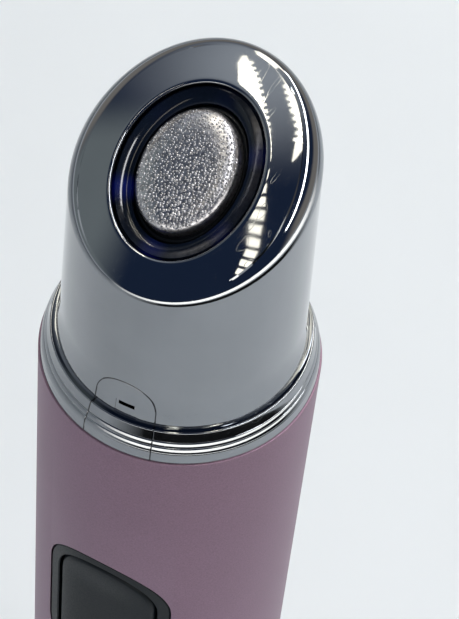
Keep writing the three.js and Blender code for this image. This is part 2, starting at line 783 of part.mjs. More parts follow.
// Chassis: an open trough for the cell, with ribs, two posts and a plate under the head
function makeChassis() {
  const reach = handleRadius + overrun;
  const trough = ring(chassisRadius, chassisBore, chassisBottom, chassisTop);
  const back = box(-reach, -chassisFront, 0, reach, reach, handleTop);
  const bore = disc(cellRadius + clearance, 0, handleTop, smallSteps * 2).translate([0, cellMiddle, 0]);
  const slotHalf = cellRadius + clearance;
  const frontSlot = box(-slotHalf, -reach, cellBottom, slotHalf, cellMiddle, cellBottom + cellLength);
  const ribHeights = [
    ...cellRibShares.map((share) => cellBottom + cellLength * share),
    buttonHeight - switchRibReach - chassisRib / 2,
    buttonHeight + coilRibReach - chassisRib / 2,
  ];
  const halfRib = chassisRib / 2;
  const ribs = ribHeights.map((z) => cut(chassisFill(z - halfRib, z + halfRib), bore, frontSlot));
  const stopGap = tabThickness + 2 * clearance;
  const lowStop = cellBottom - stopGap;
  const highStop = cellBottom + cellLength + stopGap;
  const stops = [
    chassisFill(lowStop - chassisRib, lowStop),
    chassisFill(highStop, highStop + chassisRib),
  ];
  const chargeSlot = box(
    -chargeBoardWidth / 2 - clearance, socketThickness / 2, chargeRib - overrun,
    chargeBoardWidth / 2 + clearance, socketThickness / 2 + boardThickness + 2 * clearance, chargeBoardTop,
  );
  const leadGap = chargeLeadAcross + 2 * leadRadius;
  const leadSlot = box(-leadGap, -reach, chargeRib - overrun, leadGap, 0, chargeBoardTop);
  const chargeHolder = cut(chassisFill(chargeRib, chargeRib + chassisRib), chargeSlot, leadSlot);
  const postHeights = [cellBottom - lowerPost, buttonHeight + switchSize / 2 + upperPost];
  const postBack = -chassisBore - chassisWall / 2;
  const posts = postHeights.map((z) => barToFront(postRadius, 0, z, postBack, chassisFront));
  const postBores = postHeights.map(
    (z) => barToFront(screwShank + fitGap, 0, z, boardFront - screwLength - clearance, handleRadius),
  );
  const plate = chassisFill(chassisTop - chassisPlate, chassisTop);
  const plateHole = disc(motorRadius, 0, handleTop, smallSteps).translate([0, motorOffset, 0]);
  const screwHoles = [-bossAcross, bossAcross].map((x) => {
    const hole = disc(screwShank + fitGap, chassisTop - chassisPlate - overrun, handleTop, smallSteps);
    return hole.translate([x, -bossFront, 0]);
  });
  const walls = [...ribs, ...stops, chargeHolder, ...posts, cut(plate, plateHole)];
  const shell = joined(trough.intersect(back), ...walls);
  piece('chassis', cut(shell, ...postBores, ...screwHoles), inner);

  // Screws of the main board, from the front, and of the head, from below
  postHeights.forEach((z, i) => {
    const mesh = piece(`board_screw_${i + 1}`, screw(), nickel);
    mesh.rotation.x = -Math.PI / 2;
    mesh.position.set(0, -boardFront - screwHeadHeight - seamGap, z);
  });
  [-bossAcross, bossAcross].forEach((x, i) => {
    const mesh = piece(`head_screw_${i + 1}`, screw(), nickel);
    mesh.position.set(x, -bossFront, chassisTop - chassisPlate - screwHeadHeight - seamGap);
  });
  const holes = postHeights.map((z) => barToFront(screwShank + fitGap, 0, z, 0, handleRadius));
  const board = box(-boardHalfWidth, -boardFront, boardBottom, boardHalfWidth, -boardBack, boardTop);
  piece('main_board', cut(board, ...holes), laminate);
}

// Battery cell with a welded tab at each end
function makeBattery() {
  const top = cellBottom + cellLength;
  const cell = disc(cellRadius, cellBottom, top, smallSteps * 2);
  piece('battery_cell', cell.translate([0, cellMiddle, 0]), wrap);
  const back = -cellMiddle - tabWidth / 2;
  const front = chassisFront;
  [[cellBottom - clearance, -1], [top + clearance, 1]].forEach(([z, side], i) => {
    const shape = new THREE.Shape();
    shape.moveTo(back, 0);
    shape.lineTo(front, 0);
    shape.lineTo(front, side * -tabLeg);
    shape.lineTo(front - tabThickness, side * -tabLeg);
    shape.lineTo(front - tabThickness, side * -tabThickness);
    shape.lineTo(back, side * -tabThickness);
    shape.closePath();
    const options = { depth: tabWidth, bevelEnabled: false };
    const geometry = new THREE.ExtrudeGeometry(shape, options);
    geometry.translate(0, 0, -tabWidth / 2).rotateY(-Math.PI / 2).rotateX(Math.PI / 2);
    piece(['battery_tab_bottom', 'battery_tab_top'][i], geometry, nickel).position.z = z;
  });
}

// What is soldered to the main board
function makeBoardParts() {
  const chipTop = buttonHeight - chipDrop;
  const front = -boardFront - solderGap;
  const back = -boardBack + solderGap;
  piece('controller_chip', box(
    -chipSize / 2, front - chipThickness, chipTop - chipSize, chipSize / 2, front, chipTop,
  ), black);
  const capacitorTop = buttonHeight - capacitorDrop;
  piece('storage_capacitor', box(
    chipSize / 2, front - capacitorThickness, capacitorTop - capacitorSize,
    chipSize / 2 + capacitorSize, front, capacitorTop,
  ), brass);
  const coilHeight = boardTop - coilDrop;
  const coil = barToFront(coilRadius, 0, coilHeight, -back - coilThickness, -back);
  piece('step_up_coil', coil, black);

  // Leaf that touches the inside of the metal tube, the second contact for the skin
  const edge = boardHalfWidth - leafThickness;
  const rise = Math.sqrt(tubeBore ** 2 - (edge - leafThickness) ** 2) - clearance - leafThickness;
  const shape = new THREE.Shape();
  shape.moveTo(edge - leafLength, front);
  shape.lineTo(edge - leafLength, front - leafThickness);
  shape.lineTo(edge - leafLength / 2, front - leafThickness);
  shape.lineTo(edge - leafThickness, -rise);
  shape.lineTo(edge, -rise);
  shape.lineTo(edge - leafLength / 2 + leafThickness, front);
  shape.closePath();
  piece('handle_contact', pushed(shape, leafRise, leafRise + leafWidth), nickel);
}

// Button, the frame round it and the switch that it presses
function makeButton() {
  const frameLength = buttonLength - 2 * fitGap;
  const frame = buttonShell(frameWidth, frameLength, surroundInset, surroundDepth);
  const lip = buttonShell(
    frameWidth + 2 * lipReach, frameLength + 2 * lipReach, tubeWall + clearance, lipDepth,
  );
  const keyWindow = buttonBar(frameWidth - 2 * surroundWidth, frameLength - 2 * surroundWidth);
  const lipWindow = buttonShell(
    frameWidth - 2 * lipTrim, frameLength - 2 * lipTrim, surroundDepth, lipDepth + overrun,
  );
  piece('button_surround', cut(joined(frame, lip), keyWindow, lipWindow), black);

  // Key with its flange and the boss that meets the switch
  const keyWidth = frameWidth - 2 * surroundWidth - 2 * keyGap;
  const keyLength = frameLength - 2 * surroundWidth - 2 * keyGap;
  const body = buttonShell(keyWidth, keyLength, keyInset, keyDepth);
  const flange = buttonShell(
    keyWidth + 2 * keyFlangeReach, keyLength + 2 * keyFlangeReach, keyDepth - keyFlange, keyDepth,
  );
  const bossBack = keyUnder - keyBossHeight;
  const boss = barToFront(keyBossRadius, 0, buttonHeight, bossBack, keyUnder + keyFlange);
  piece('power_button', joined(body, flange, boss), black);

  // Switch body with the plunger sunk in its bore
  const half = switchSize / 2;
  const low = buttonHeight - half;
  const high = buttonHeight + half;
  const can = box(-half, -switchFront, low, half, -boardFront - solderGap, high);
  const foot = plungerTip - plungerLength;
  const deepest = foot - keyTravel - fitGap;
  const bore = barToFront(plungerRadius + clearance, 0, buttonHeight, deepest, handleRadius);
  piece('switch_body', cut(can, bore), steel);
  piece('switch_plunger', barToFront(plungerRadius, 0, buttonHeight, foot, plungerTip), black);
}

// Charging socket in the base, with its tongue and board
function makeSocket() {
  const top = socketSink + socketLength;
  const outer = pushed(obround(socketWidth, socketThickness), socketSink, top);
  const boreWidth = socketWidth - 2 * socketWall;
  const boreThickness = socketThickness - 2 * socketWall;
  const bore = pushed(obround(boreWidth, boreThickness), 0, top + overrun);
  piece('charging_socket', cut(outer, bore), nickel);
  const block = pushed(
    obround(boreWidth - 2 * fitGap, boreThickness - 2 * fitGap), top - tongueBase, top,
  );
  const tongue = box(
    -tongueWidth / 2, -tongueThickness / 2, socketSink + tongueSink,
    tongueWidth / 2, tongueThickness / 2, top - tongueBase / 2,
  );
  piece('socket_tongue', joined(block, tongue), black);
  const back = socketThickness / 2 + clearance;
  piece('charge_board', box(
    -chargeBoardWidth / 2, back, capFloor + clearance,
    chargeBoardWidth / 2, back + boardThickness, chargeBoardTop,
  ), laminate);
}

// Leads between the boards, the motor and the light board
function makeLeads() {
  const front = -boardMiddle();
  const start = boardTop + clearance;
  const carrierLow = handleTop - carrierDepth;
  const boardUnder = slantHeight(ledBoardBottom, front) - clearance - leadRadius;
  const middle = (start + boardUnder) / 2;
  const upward = [['electrode_lead', -leadAcross, redLead], ['light_lead', leadAcross, blackLead]];
  upward.forEach(([name, x, material]) => {
    piece(name, lead([
      [x, front, start], [x, front, carrierLow], [x, front + leadRadius, middle], [x, front, boardUnder],
    ]), material);
  });
  const end = motorBottom - clearance;
  const paired = [['red', -1, redLead], ['black', 1, blackLead]];
  paired.forEach(([colour, side, material]) => {
    const x = side * motorLeadAcross;
    piece(`motor_lead_${colour}`, lead([
      [x, front, start], [x, front, chassisTop], [x, front / 2, (chassisTop + end) / 2 + leadRadius],
      [x, motorOffset, end - leadRadius * 2], [x, motorOffset, end],
    ]), material);
  });
  const low = boardBottom - clearance;
  const startY = socketThickness / 2;
  const startZ = (capBand + capSpigot + chargeRib) / 2;
  paired.forEach(([colour, side, material]) => {
    const x = side * chargeLeadAcross;
    piece(`charge_lead_${colour}`, lead([
      [x, startY, startZ], [x, front / 3, startZ - leadRadius],
      [x, front, low - leadRadius * 2], [x, front, low],
    ]), material);
  });
}

makeHandle();
makeEndCap();
makeHeadShell();
makeFace();
makeCarrier();
makeMotor();
makeChassis();
makeBattery();
makeBoardParts();
makeButton();
makeSocket();
makeLeads();

export default wand;
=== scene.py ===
"""Looks of a facial toning wand: mirror head, lit ring, pebbled plate, satin handle and long button."""

import math

import bmesh
import bpy
from mathutils import Matrix, Vector


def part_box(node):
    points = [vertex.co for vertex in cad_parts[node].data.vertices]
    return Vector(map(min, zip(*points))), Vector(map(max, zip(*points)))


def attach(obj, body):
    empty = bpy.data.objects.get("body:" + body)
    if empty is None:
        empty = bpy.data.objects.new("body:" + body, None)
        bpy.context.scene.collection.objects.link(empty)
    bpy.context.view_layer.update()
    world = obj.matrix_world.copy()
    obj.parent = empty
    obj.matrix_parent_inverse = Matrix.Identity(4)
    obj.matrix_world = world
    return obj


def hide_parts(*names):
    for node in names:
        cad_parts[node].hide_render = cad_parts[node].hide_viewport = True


bl_info = {
    "name": "Facial Toning Wand",
    "version": (1, 0, 0),
    "blender": (4, 5, 0),
    "location": "View3D > Sidebar > Toning Wand",
    "description": "Builds the looks of a facial toning wand on its packed frame",
    "category": "Add Mesh",
}

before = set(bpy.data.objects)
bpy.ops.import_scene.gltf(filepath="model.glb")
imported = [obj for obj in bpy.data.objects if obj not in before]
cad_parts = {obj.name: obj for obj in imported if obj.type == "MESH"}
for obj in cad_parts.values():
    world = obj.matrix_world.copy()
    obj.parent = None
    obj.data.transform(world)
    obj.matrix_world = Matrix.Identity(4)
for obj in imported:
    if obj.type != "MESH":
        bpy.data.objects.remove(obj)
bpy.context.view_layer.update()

MM = 0.001
FULL_TURN = 2 * math.pi
QUARTER_TURN = math.pi / 2


# Properties

def length(name, description, millimetres):
    """A size of the wand: written in millimetres, kept in metres."""
    return bpy.props.FloatProperty(
        name=name, description=description, default=millimetres * MM, precision=5, unit="LENGTH"
    )


def linear(code):
    """Turns a hex sRGB colour into linear red, green and blue."""
    parts = [int(code[i:i + 2], 16) / 255 for i in (1, 3, 5)]
    return [p / 12.92 if p <= 0.04045 else ((p + 0.055) / 1.055) ** 2.4 for p in parts]


def tint(name, description, code):
    """A colour of the wand, written as a hex sRGB code."""
    return bpy.props.FloatVectorProperty(
        name=name, description=description, default=linear(code), size=3, min=0, max=1, subtype="COLOR"
    )


def span(node, axis):
    """Size of a CAD node's box along an axis, in millimetres."""
    low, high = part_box(node)
    return (high[axis] - low[axis]) / MM


class HandleSizes(bpy.types.PropertyGroup):
    """Sizes of the tube and the end cap"""

    radius: length("Handle radius", "Outer radius of the tube", span("handle_tube", 0) / 2)
    wall: length("Tube wall", "Thickness of the tube's wall", 1.2)
    bottom: length("Tube bottom", "Height of the tube's lower end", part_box("handle_tube")[0].z / MM)
    top: length("Tube top", "Height of the tube's upper end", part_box("handle_tube")[1].z / MM)
    edge: length("Tube edge", "Round on the tube's cut edges", 0.07)
    cap_inset: length("Cap inset", "How far the end cap lies inside the tube's surface", 0.15)
    cap_edge: length("Cap edge", "Round on the end cap's lower edge", 1)
    cap_floor: length("Cap floor", "Thickness of the end cap's floor", 1.8)
    cap_band: length("Cap band", "Height of the end cap's visible band", 5)
    spigot: length("Spigot", "How far the end cap reaches into the tube", 6.2)
    spigot_wall: length("Spigot wall", "Wall of the end cap's spigot", 1.3)
    seal_rise: length("Seal rise", "Height of the lower seal over the cap's band", 2.4)
    seal_height: length("Seal height", "Height of the grooves for the seals", 1.4)
    seal_wall: length("Seal wall", "Wall left under the grooves for the seals", 0.5)
    fit_gap: length("Fit gap", "Gap between pieces that slide into each other", 0.12)
    window_gap: length("Window gap", "Gap round the charging socket", 0.3)


class HeadSizes(bpy.types.PropertyGroup):
    """Sizes of the mirror head"""

    step: length("Head step", "How much narrower the head's wall is than the handle", 1.8)
    wall: length("Head wall", "Thickness of the head's wall", 1.5)
    draft_share: bpy.props.FloatProperty(
        name="Draft", description="How much the wall narrows for each unit of height", default=0.0263
    )
    collar_inset: length("Collar inset", "How far the collar lies inside the tube's surface", 0.15)
    band: length("Band", "Height of the collar's outer band", 1.25)
    band_draft: length("Band draft", "How much the band narrows to its top", 0.12)
    bead_rise: length("Bead rise", "Height of each of the two fine beads", 0.55)
    bead_inset: length("Bead inset", "How far each bead leans in over its height", 0.24)
    bead_bulge: length("Bead bulge", "How far a bead swells out", 0.01)
    bead_groove: length("Bead groove", "Depth of the grooves beside the beads", 0.035)
    crest_rise: length("Crest rise", "Height of the steep face over the beads", 1.15)
    crest_draft: length("Crest draft", "How far the steep face leans in", 0.25)
    crest_width: length("Crest width", "Width of the rounded crest", 0.25)
    seam_gap: length("Seam gap", "Gap between the tube's end and the collar", 0.05)
    wall_base: length("Wall base", "Height over the handle where the wall's draft starts", 3)
    flare: length("Flare", "How far the wall's foot stands out", 0.34)
    flare_height: length("Flare height", "Height of that flare over the wall's foot", 3)
    skirt: length("Skirt", "How far the head reaches into the tube", 8)
    seal_depth: length("Seal depth", "Depth of the head's seal under the tube's top", 4.5)
    fine_edge: length("Fine edge", "Round on the collar's moulded edges", 0.08)
    face_elevation: bpy.props.FloatProperty(
        name="Face slant", description="Elevation of the face's own axis", default=math.radians(60.2),
        subtype="ANGLE"
    )
    face_height: length("Face height", "Height of the face on the wand's axis", 28.829)
    face_shift: length("Face shift", "How far down the slope the dome's pole lies", 2.31)
    dome_radius: length("Dome radius", "Radius of the gently domed face", 31.1)
    rim_round: length("Rim round", "Mean radius of the rounded rim", 1.73)
    rim_swing_share: bpy.props.FloatProperty(
        name="Rim swing", description="How much rounder the rim is at the sides", default=0.34
    )
    inner_round: length("Inner round", "Least round inside the rim", 0.4)
    slot_width: length("Slot width", "Width of the snap slot", 1.53)
    slot_height: length("Slot height", "Height of the snap slot", 0.5)
    slot_top: length("Slot top", "Height of the slot's upper edge over the handle", 5.3)
    slot_depth: length("Slot depth", "How deep the slot looks", 0.9)
    slot_aside: length("Slot aside", "How far the slot lies to the right of the front's middle", 0.6)
    recess_width: length("Recess width", "Width of the shallow recess round the slot", 2.08)
    recess_height: length("Recess height", "Height of the recess", 1.23)
    recess_depth: length("Recess depth", "Depth of the recess", 0.05)
    arch_radius: length("Arch radius", "Radius of the line that the mould's slide leaves over the slot", 2.95)
    arch_rise: length("Arch rise", "Height over the handle where that line starts to bend", 5)
    arch_aside: length("Arch aside", "How far the line lies to the right of the front's middle", 0.37)


class FaceSizes(bpy.types.PropertyGroup):
    """Sizes of the opening and what lies in it"""

    across: length("Opening across", "Half width of the oval opening", 6.36)
    along: length("Opening along", "Half length of the oval opening", 8.03)
    bezel: length("Bezel edge", "Round on the opening's edge", 0.4)
    bezel_reach: length("Bezel reach", "How far that round reaches into the oval", 0.24)
    ring_width: length("Ring width", "Width of the light ring", 1.75)
    ring_recess: length("Ring recess", "Depth of the light ring's outer edge", 0.35)
    ring_fall: length("Ring fall", "How far the light ring falls towards its middle", 1)
    ring_bottom: length("Ring bottom", "Depth of the light ring's underside", 4)
    ring_flange: length("Ring flange", "How far the light ring's flange reaches under the shell", 0.9)
    plate_across: length("Plate across", "Half width of the contact plate", 4.15)
    plate_along: length("Plate along", "Half length of the contact plate", 5.56)
    plate_crown: length("Plate crown", "Height of the plate's middle over the pole", 0.3)
    plate_shoulder: length("Plate shoulder", "Depth of the plate's edge", 1)
    plate_power: bpy.props.FloatProperty(
        name="Plate fullness", description="How flat the plate stays towards its shoulder", default=5, min=2
    )
    plate_thickness: length("Plate thickness", "Height of the plate's straight edge", 1.2)
    stud_radius: length("Stud radius", "Radius of the plate's contact stud", 1.5)
    stud_length: length("Stud length", "Length of the contact stud", 0.6)
    cup_drop: length("Cup drop", "Depth of the black cup's upper edge", 1.8)
    cup_floor: length("Cup floor", "Thickness of the cup's floor", 1)
    cup_hole: length("Cup hole", "Radius of the well for the spring", 2.3)
    pebble_pitch: length("Pebble pitch", "Distance between the plate's pebbles", 0.3)
    pebble_radius: length("Pebble radius", "Mean radius of a pebble", 0.125)
    emitter_size: length("Emitter size", "Width of a light emitter", 1.6)
    emitter_height: length("Emitter height", "Height of a light emitter", 0.75)
    emitter_inset: length("Emitter inset", "How far the emitters lie inside the opening's oval", 0.2)
    # How far the glow painted on the ring spreads round each emitter
    emitter_glow: length("Emitter glow", "How far an emitter's light spreads in the ring", 1.7)
    emitter_count: bpy.props.IntProperty(
        name="Emitters", description="Number of light emitters under the ring", default=6, min=1
    )
    spring_radius: length("Spring radius", "Radius of the contact spring's turns", 1.3)
    spring_wire: length("Spring wire", "Radius of the contact spring's wire", 0.2)
    spring_turns: bpy.props.FloatProperty(
        name="Spring turns", description="Number of turns of the contact spring", default=2.5, min=1
    )


class ButtonSizes(bpy.types.PropertyGroup):
    """Sizes of the long button and its surround"""

    width: length("Window width", "Width of the window in the tube", 13.5)
    height: length("Window length", "Length of the window in the tube", 24)
    middle: length("Window middle", "Height of the window's middle", 83)
    surround_inset: length("Surround inset", "Depth of the surround under the tube's surface", 0.05)
    surround_width: length("Surround width", "Width of the surround's frame", 1.15)
    surround_depth: length("Surround depth", "Depth of the frame's back", 1.65)
    lip_reach: length("Lip reach", "How far the surround's lip reaches behind the tube", 0.37)
    lip_width: length("Lip width", "Width of the surround's lip", 0.8)
    lip_depth: length("Lip depth", "Depth of the lip's back", 2.65)
    key_inset: length("Key inset", "Depth of the button's face", 0.12)
    key_gap: length("Key gap", "Gap between the button and its surround", 0.25)
    key_round: length("Key round", "Round on the button's edge", 0.45)
    key_dish: length("Key dish", "Depth of the shallow dish in the button's face", 0.3)
    key_depth: length("Key depth", "Depth of the button's back", 2.45)
    flange: length("Flange", "Height of the button's flange", 0.45)
    flange_reach: length("Flange reach", "How far the flange reaches under the surround", 0.7)


class Finishes(bpy.types.PropertyGroup):
    """Colours of the wand and of what it stands on"""

    chrome: tint("Chrome", "Plated head and end cap", "#94979B")
    mauve: tint("Mauve", "Anodised handle", "#8E7485")
    smoke: tint("Smoke", "Smoked light ring", "#0E141F")
    # Colour of the glow painted on the ring over the emitters
    glow: tint("Glow", "Light that shows through the ring", "#2038FF")
    steel: tint("Steel", "Contact plate, motor can and switch", "#C2C1C4")
    black: tint("Black", "Moulded black pieces", "#0A0E13")
    button: tint("Button", "Button and its surround", "#10191F")
    nylon: tint("Nylon", "Inner frame and carrier", "#D8D8D4")
    rubber: tint("Rubber", "Seals and motor sleeve", "#2A2A2C")
    mask: tint("Solder mask", "Circuit boards", "#1D5C3A")
    lens: tint("Encapsulant", "Light emitters", "#E8E6C8")
    nickel: tint("Nickel", "Plated springs, screws and tabs", "#C4BFB2")
    brass: tint("Brass", "Off-centre weight and capacitor", "#C9A45A")
    wrap: tint("Shrink wrap", "Battery cell", "#2F5F9A")
    red_lead: tint("Red lead", "Insulation of the live leads", "#B02020")
    black_lead: tint("Black lead", "Insulation of the return leads", "#1C1C1E")
    floor: tint("Floor", "Pale floor of the studio", "#E4E9ED")
    card: tint("Card", "Black card of the studio", "#0A0B0E")


# Mesh helpers

def show(name, mesh):
    """Adds an object to the scene."""
    obj = bpy.data.objects.new(name, mesh)
    bpy.context.scene.collection.objects.link(obj)
    return obj


def smooth(mesh, crease):
    """Smooths a mesh except where it bends by more than the crease, in degrees."""
    mesh.shade_smooth()
    mesh.set_sharp_from_angle(angle=math.radians(crease))


def tidy_mesh(work, crease):
    """Merges doubles, points the faces outwards and smooths all but the creases. Returns the mesh."""
    double = MM / 500
    shortest = MM / 1000
    bmesh.ops.remove_doubles(work, verts=work.verts, dist=double)
    bmesh.ops.dissolve_degenerate(work, edges=work.edges, dist=shortest)
    bmesh.ops.recalc_face_normals(work, faces=work.faces)
    mesh = bpy.data.meshes.new("piece")
    work.to_mesh(mesh)
    work.free()
    smooth(mesh, crease)
    return mesh


def loft(columns, closed=True):
    """Joins columns of points into a skin that goes once round. Each column is closed onto its own start, or
    its ends lie on a middle point or line, where the merging of doubles closes the skin."""
    work = bmesh.new()
    grid = [[work.verts.new(point) for point in column] for column in columns]
    rows = len(columns[0])
    reach = rows if closed else rows - 1
    for i, column in enumerate(grid):
        beside = grid[(i + 1) % len(grid)]
        for j in range(reach):
            k = (j + 1) % rows
            work.faces.new([column[j], beside[j], beside[k], column[k]])
    return work


def turned_column(profile, azimuth):
    """A turned piece's profile of radius and height, placed at an azimuth."""
    return [Vector((r * math.cos(azimuth), r * math.sin(azimuth), z)) for r, z in profile]


def obround(width, height, share):
    """A point on a track-shaped outline, a share of the way round from its right-hand middle."""
    radius = width / 2
    straight = height - width
    way = (share % 1) * (2 * straight + FULL_TURN * radius)
    if way < straight / 2:
        return radius, way
    way -= straight / 2
    if way < math.pi * radius:
        return radius * math.cos(way / radius), straight / 2 + radius * math.sin(way / radius)
    way -= math.pi * radius
    if way < straight:
        return -radius, straight / 2 - way
    way -= straight
    if way < math.pi * radius:
        return -radius * math.cos(way / radius), -straight / 2 - radius * math.sin(way / radius)
    return radius, way - math.pi * radius - straight / 2


def place(obj, body, finish_slot, *nodes):
    """Rides a finished piece on its body, in place of the CAD nodes that it stands for."""
    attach(obj, body)
    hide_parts(*nodes)


def dressed(name, mesh, *materials):
    """Adds a mesh to the scene with its materials."""
    for material in materials:
        mesh.materials.append(material)
    return show(name, mesh)


# Node helpers

def wire(tree, node, links):
    """Sets a node's inputs to plain values, outlets or nodes. A node stands for its first outlet in use, and
    a list puts several on one input."""
    for socket, sources in links.items():
        for source in sources if isinstance(sources, list) else [sources]:
            if isinstance(source, bpy.types.Node):
                source = next(outlet for outlet in source.outputs if outlet.enabled)
            if isinstance(source, bpy.types.NodeSocket):
                tree.links.new(source, node.inputs[socket])
            else:
                node.inputs[socket].default_value = source


def add(tree, kind, links=None, **settings):
    """Adds a node with its settings and its inputs."""
    node = tree.nodes.new(kind)
    for name, value in settings.items():
        setattr(node, name, value)
    wire(tree, node, links or {})
    return node


def new_tree(name, inputs):
    """Starts a Geometry Nodes tree with named inputs. Returns the tree and the inputs' outlets by name."""
    tree = bpy.data.node_groups.new(name, "GeometryNodeTree")
    tree.interface.new_socket("Geometry", in_out="INPUT", socket_type="NodeSocketGeometry")
    tree.interface.new_socket("Geometry", in_out="OUTPUT", socket_type="NodeSocketGeometry")
    for label, kind in inputs.items():
        tree.interface.new_socket(label, in_out="INPUT", socket_type="NodeSocket" + kind)
    return tree, add(tree, "NodeGroupInput").outputs


def end_tree(tree, geometry, material):
    """Ends a tree: instances made real and the material set."""
    real = add(tree, "GeometryNodeRealizeInstances", {"Geometry": geometry})
    finished = add(tree, "GeometryNodeSetMaterial", {"Geometry": real, "Material": material})
    add(tree, "NodeGroupOutput", {"Geometry": finished})


def grow(obj, tree, values, crease):
    """Runs a Geometry Nodes tree on an object and keeps the result as its plain mesh."""
    modifier = obj.modifiers.new(tree.name, "NODES")
    modifier.node_group = tree
    for item in tree.interface.items_tree:
        if item.in_out == "INPUT" and item.name in values:
            modifier[item.identifier] = values[item.name]
    graph = bpy.context.evaluated_depsgraph_get()
    mesh = bpy.data.meshes.new_from_object(obj.evaluated_get(graph))
    obj.modifiers.clear()
    obj.data = mesh
    smooth(mesh, crease)
    return obj


def sprout(name, tree, values, crease):
    """Grows a piece from its tree alone."""
    return grow(show(name, bpy.data.meshes.new(name)), tree, values, crease)


# Form of the head

class HeadForm:
    """The head's outer form, and forms that lie evenly inside it."""

    settling = 6
    halvings = 40

    def __init__(self, scene):
        self.head = scene.wand_head
        self.face = scene.wand_face
        self.radius = scene.wand_handle.radius - self.head.step
        self.base = scene.wand_handle.top + self.head.seam_gap
        self.foot = self.base + self.head.band + 2 * self.head.bead_rise + self.head.crest_rise
        lean = QUARTER_TURN - self.head.face_elevation
        slope = Vector((0, math.cos(lean), math.sin(lean)))
        normal = Vector((0, -math.sin(lean), math.cos(lean)))
        self.pole = Vector((0, 0, self.base + self.head.face_height)) - slope * self.head.face_shift
        self.centre = self.pole - normal * self.head.dome_radius
        self.to_wand = Matrix.Translation(self.pole) @ Matrix.Rotation(lean, 4, "X")
        self.to_face = self.to_wand.inverted()

    def wall_radius(self, z):
        """Radius of the drafted wall at a height, with its flared foot."""
        above_foot = z - self.foot
        flare = self.head.flare * max(1 - above_foot / self.head.flare_height, 0)
        return self.radius - self.head.draft_share * max(z - self.base - self.head.wall_base, 0) + flare

    def fillet(self, inset, azimuth, steps):
        """Points of radius and height over the rounded rim, from the wall to the dome."""
        sphere = self.head.dome_radius - inset
        middle = self.centre.y * math.sin(azimuth)
        aside = self.centre.y * math.cos(azimuth)
        swing = 1 + self.head.rim_swing_share * math.cos(2 * azimuth)
        curve = max(self.head.rim_round * swing - inset, self.head.inner_round)
        parallel = math.sqrt((sphere - curve) ** 2 - aside ** 2)
        z = self.base + self.head.face_height
        for _ in range(self.settling):
            r = self.wall_radius(z) - inset - curve
            z = self.centre.z + math.sqrt(parallel ** 2 - (r - middle) ** 2)
        start = math.atan(self.head.draft_share)
        end = math.atan2(z - self.centre.z, r - middle)
        angles = [start + (end - start) * i / steps for i in range(steps + 1)]
        return [(r + curve * math.cos(a), z + curve * math.sin(a)) for a in angles]

    def on_dome(self, inset, azimuth, r):
        """A point on the dome at an azimuth and a radius from the wand's axis."""
        x = r * math.cos(azimuth)
        y = r * math.sin(azimuth)
        sphere = self.head.dome_radius - inset
        rise = math.sqrt(sphere ** 2 - x ** 2 - (y - self.centre.y) ** 2)
        return Vector((x, y, self.centre.z + rise))

    def opening_angle(self, inset, azimuth, wider):
        """Where the opening's oval, made wider, crosses an azimuth: the oval's own angle and the radius."""
        low = 0
        high = self.radius
        for _ in range(self.halvings):
            r = (low + high) / 2
            spot = self.to_face @ self.on_dome(inset, azimuth, r)
            across = spot.x / (self.face.across + wider)
            along = spot.y / (self.face.along + wider)
            if math.hypot(across, along) < 1:
                low = r
            else:
                high = r
        return math.atan2(along, across), r

    def sag(self, x, y, inset=0):
        """How far the dome lies below its pole's plane."""
        sphere = self.head.dome_radius - inset
        return math.sqrt(sphere ** 2 - x ** 2 - y ** 2) - self.head.dome_radius

    def oval_column(self, profile, angle):
        """A piece in the opening, from points of half width, half length, height and whether they follow the
        dome."""
        column = []
        for across, along, height, draped in profile:
            x = across * math.cos(angle)
            y = along * math.sin(angle)
            column.append(self.to_wand @ Vector((x, y, height + (self.sag(x, y) if draped else 0))))
        return column


def spaced(start, end, steps):
    """Even steps between two numbers, both kept."""
    return [start + (end - start) * i / steps for i in range(steps + 1)]


def bead_profile(head, outer, low, steps=12):
    """A bead that leans inwards, half an oval between two fine grooves, from its lower groove up."""
    lean = math.atan2(head.bead_inset, head.bead_rise)
    half = math.hypot(head.bead_inset, head.bead_rise) / 2
    middle = Vector((outer - head.bead_inset / 2, low + head.bead_rise / 2))
    out = Vector((math.cos(lean), math.sin(lean)))
    up = Vector((-math.sin(lean), math.cos(lean)))
    points = []
    for turn in spaced(-QUARTER_TURN, QUARTER_TURN, steps):
        swell = (head.bead_bulge + head.bead_groove) * math.cos(turn) - head.bead_groove
        points.append(tuple(middle + up * half * math.sin(turn) + out * swell))
    return points


def groove_profile(outer, floor, low, height):
    """A square groove round a spigot."""
    return [(outer, low), (floor, low), (floor, low + height), (outer, low + height)]


# Head shell

def collar_profile(form, handle):
    """The skirt in the tube, the collar's drafted band, two beads, steep face and crest down to the wall."""
    support_share = 0.93
    crest_steps = 8
    head = form.head
    edge = head.fine_edge
    base = form.base
    skirt = handle.radius - handle.wall - handle.fit_gap
    cavity = form.radius - head.wall
    outer = handle.radius - head.collar_inset
    bead = outer - head.band_draft
    floor = base + head.band
    crest_top = form.foot
    crest_outer = bead - 2 * head.bead_inset - head.crest_draft
    round_off = head.crest_width / 2
    points = [(cavity, base - head.skirt), (skirt, base - head.skirt)]
    points += groove_profile(skirt, cavity + handle.seal_wall, base - head.seal_depth, handle.seal_height)
    band_foot = (outer, base + edge)
    band_top = (bead, floor - edge)
    # A point near the band's top keeps the band's shading straight
    support = tuple(Vector(band_foot).lerp(Vector(band_top), support_share))
    points += [(skirt, base), (outer - edge, base), band_foot, support, band_top]
    points += bead_profile(head, bead, floor)
    points += bead_profile(head, bead - head.bead_inset, floor + head.bead_rise)[1:]
    points.append((crest_outer + head.crest_draft, floor + 2 * head.bead_rise + edge))
    for turn in spaced(0, 3 * QUARTER_TURN / 2, crest_steps):
        inwards = round_off * (1 - math.cos(turn))
        points.append((crest_outer - inwards, crest_top - round_off * (1 - math.sin(turn))))
    points.append((form.wall_radius(crest_top), crest_top - head.fine_edge))
    return points


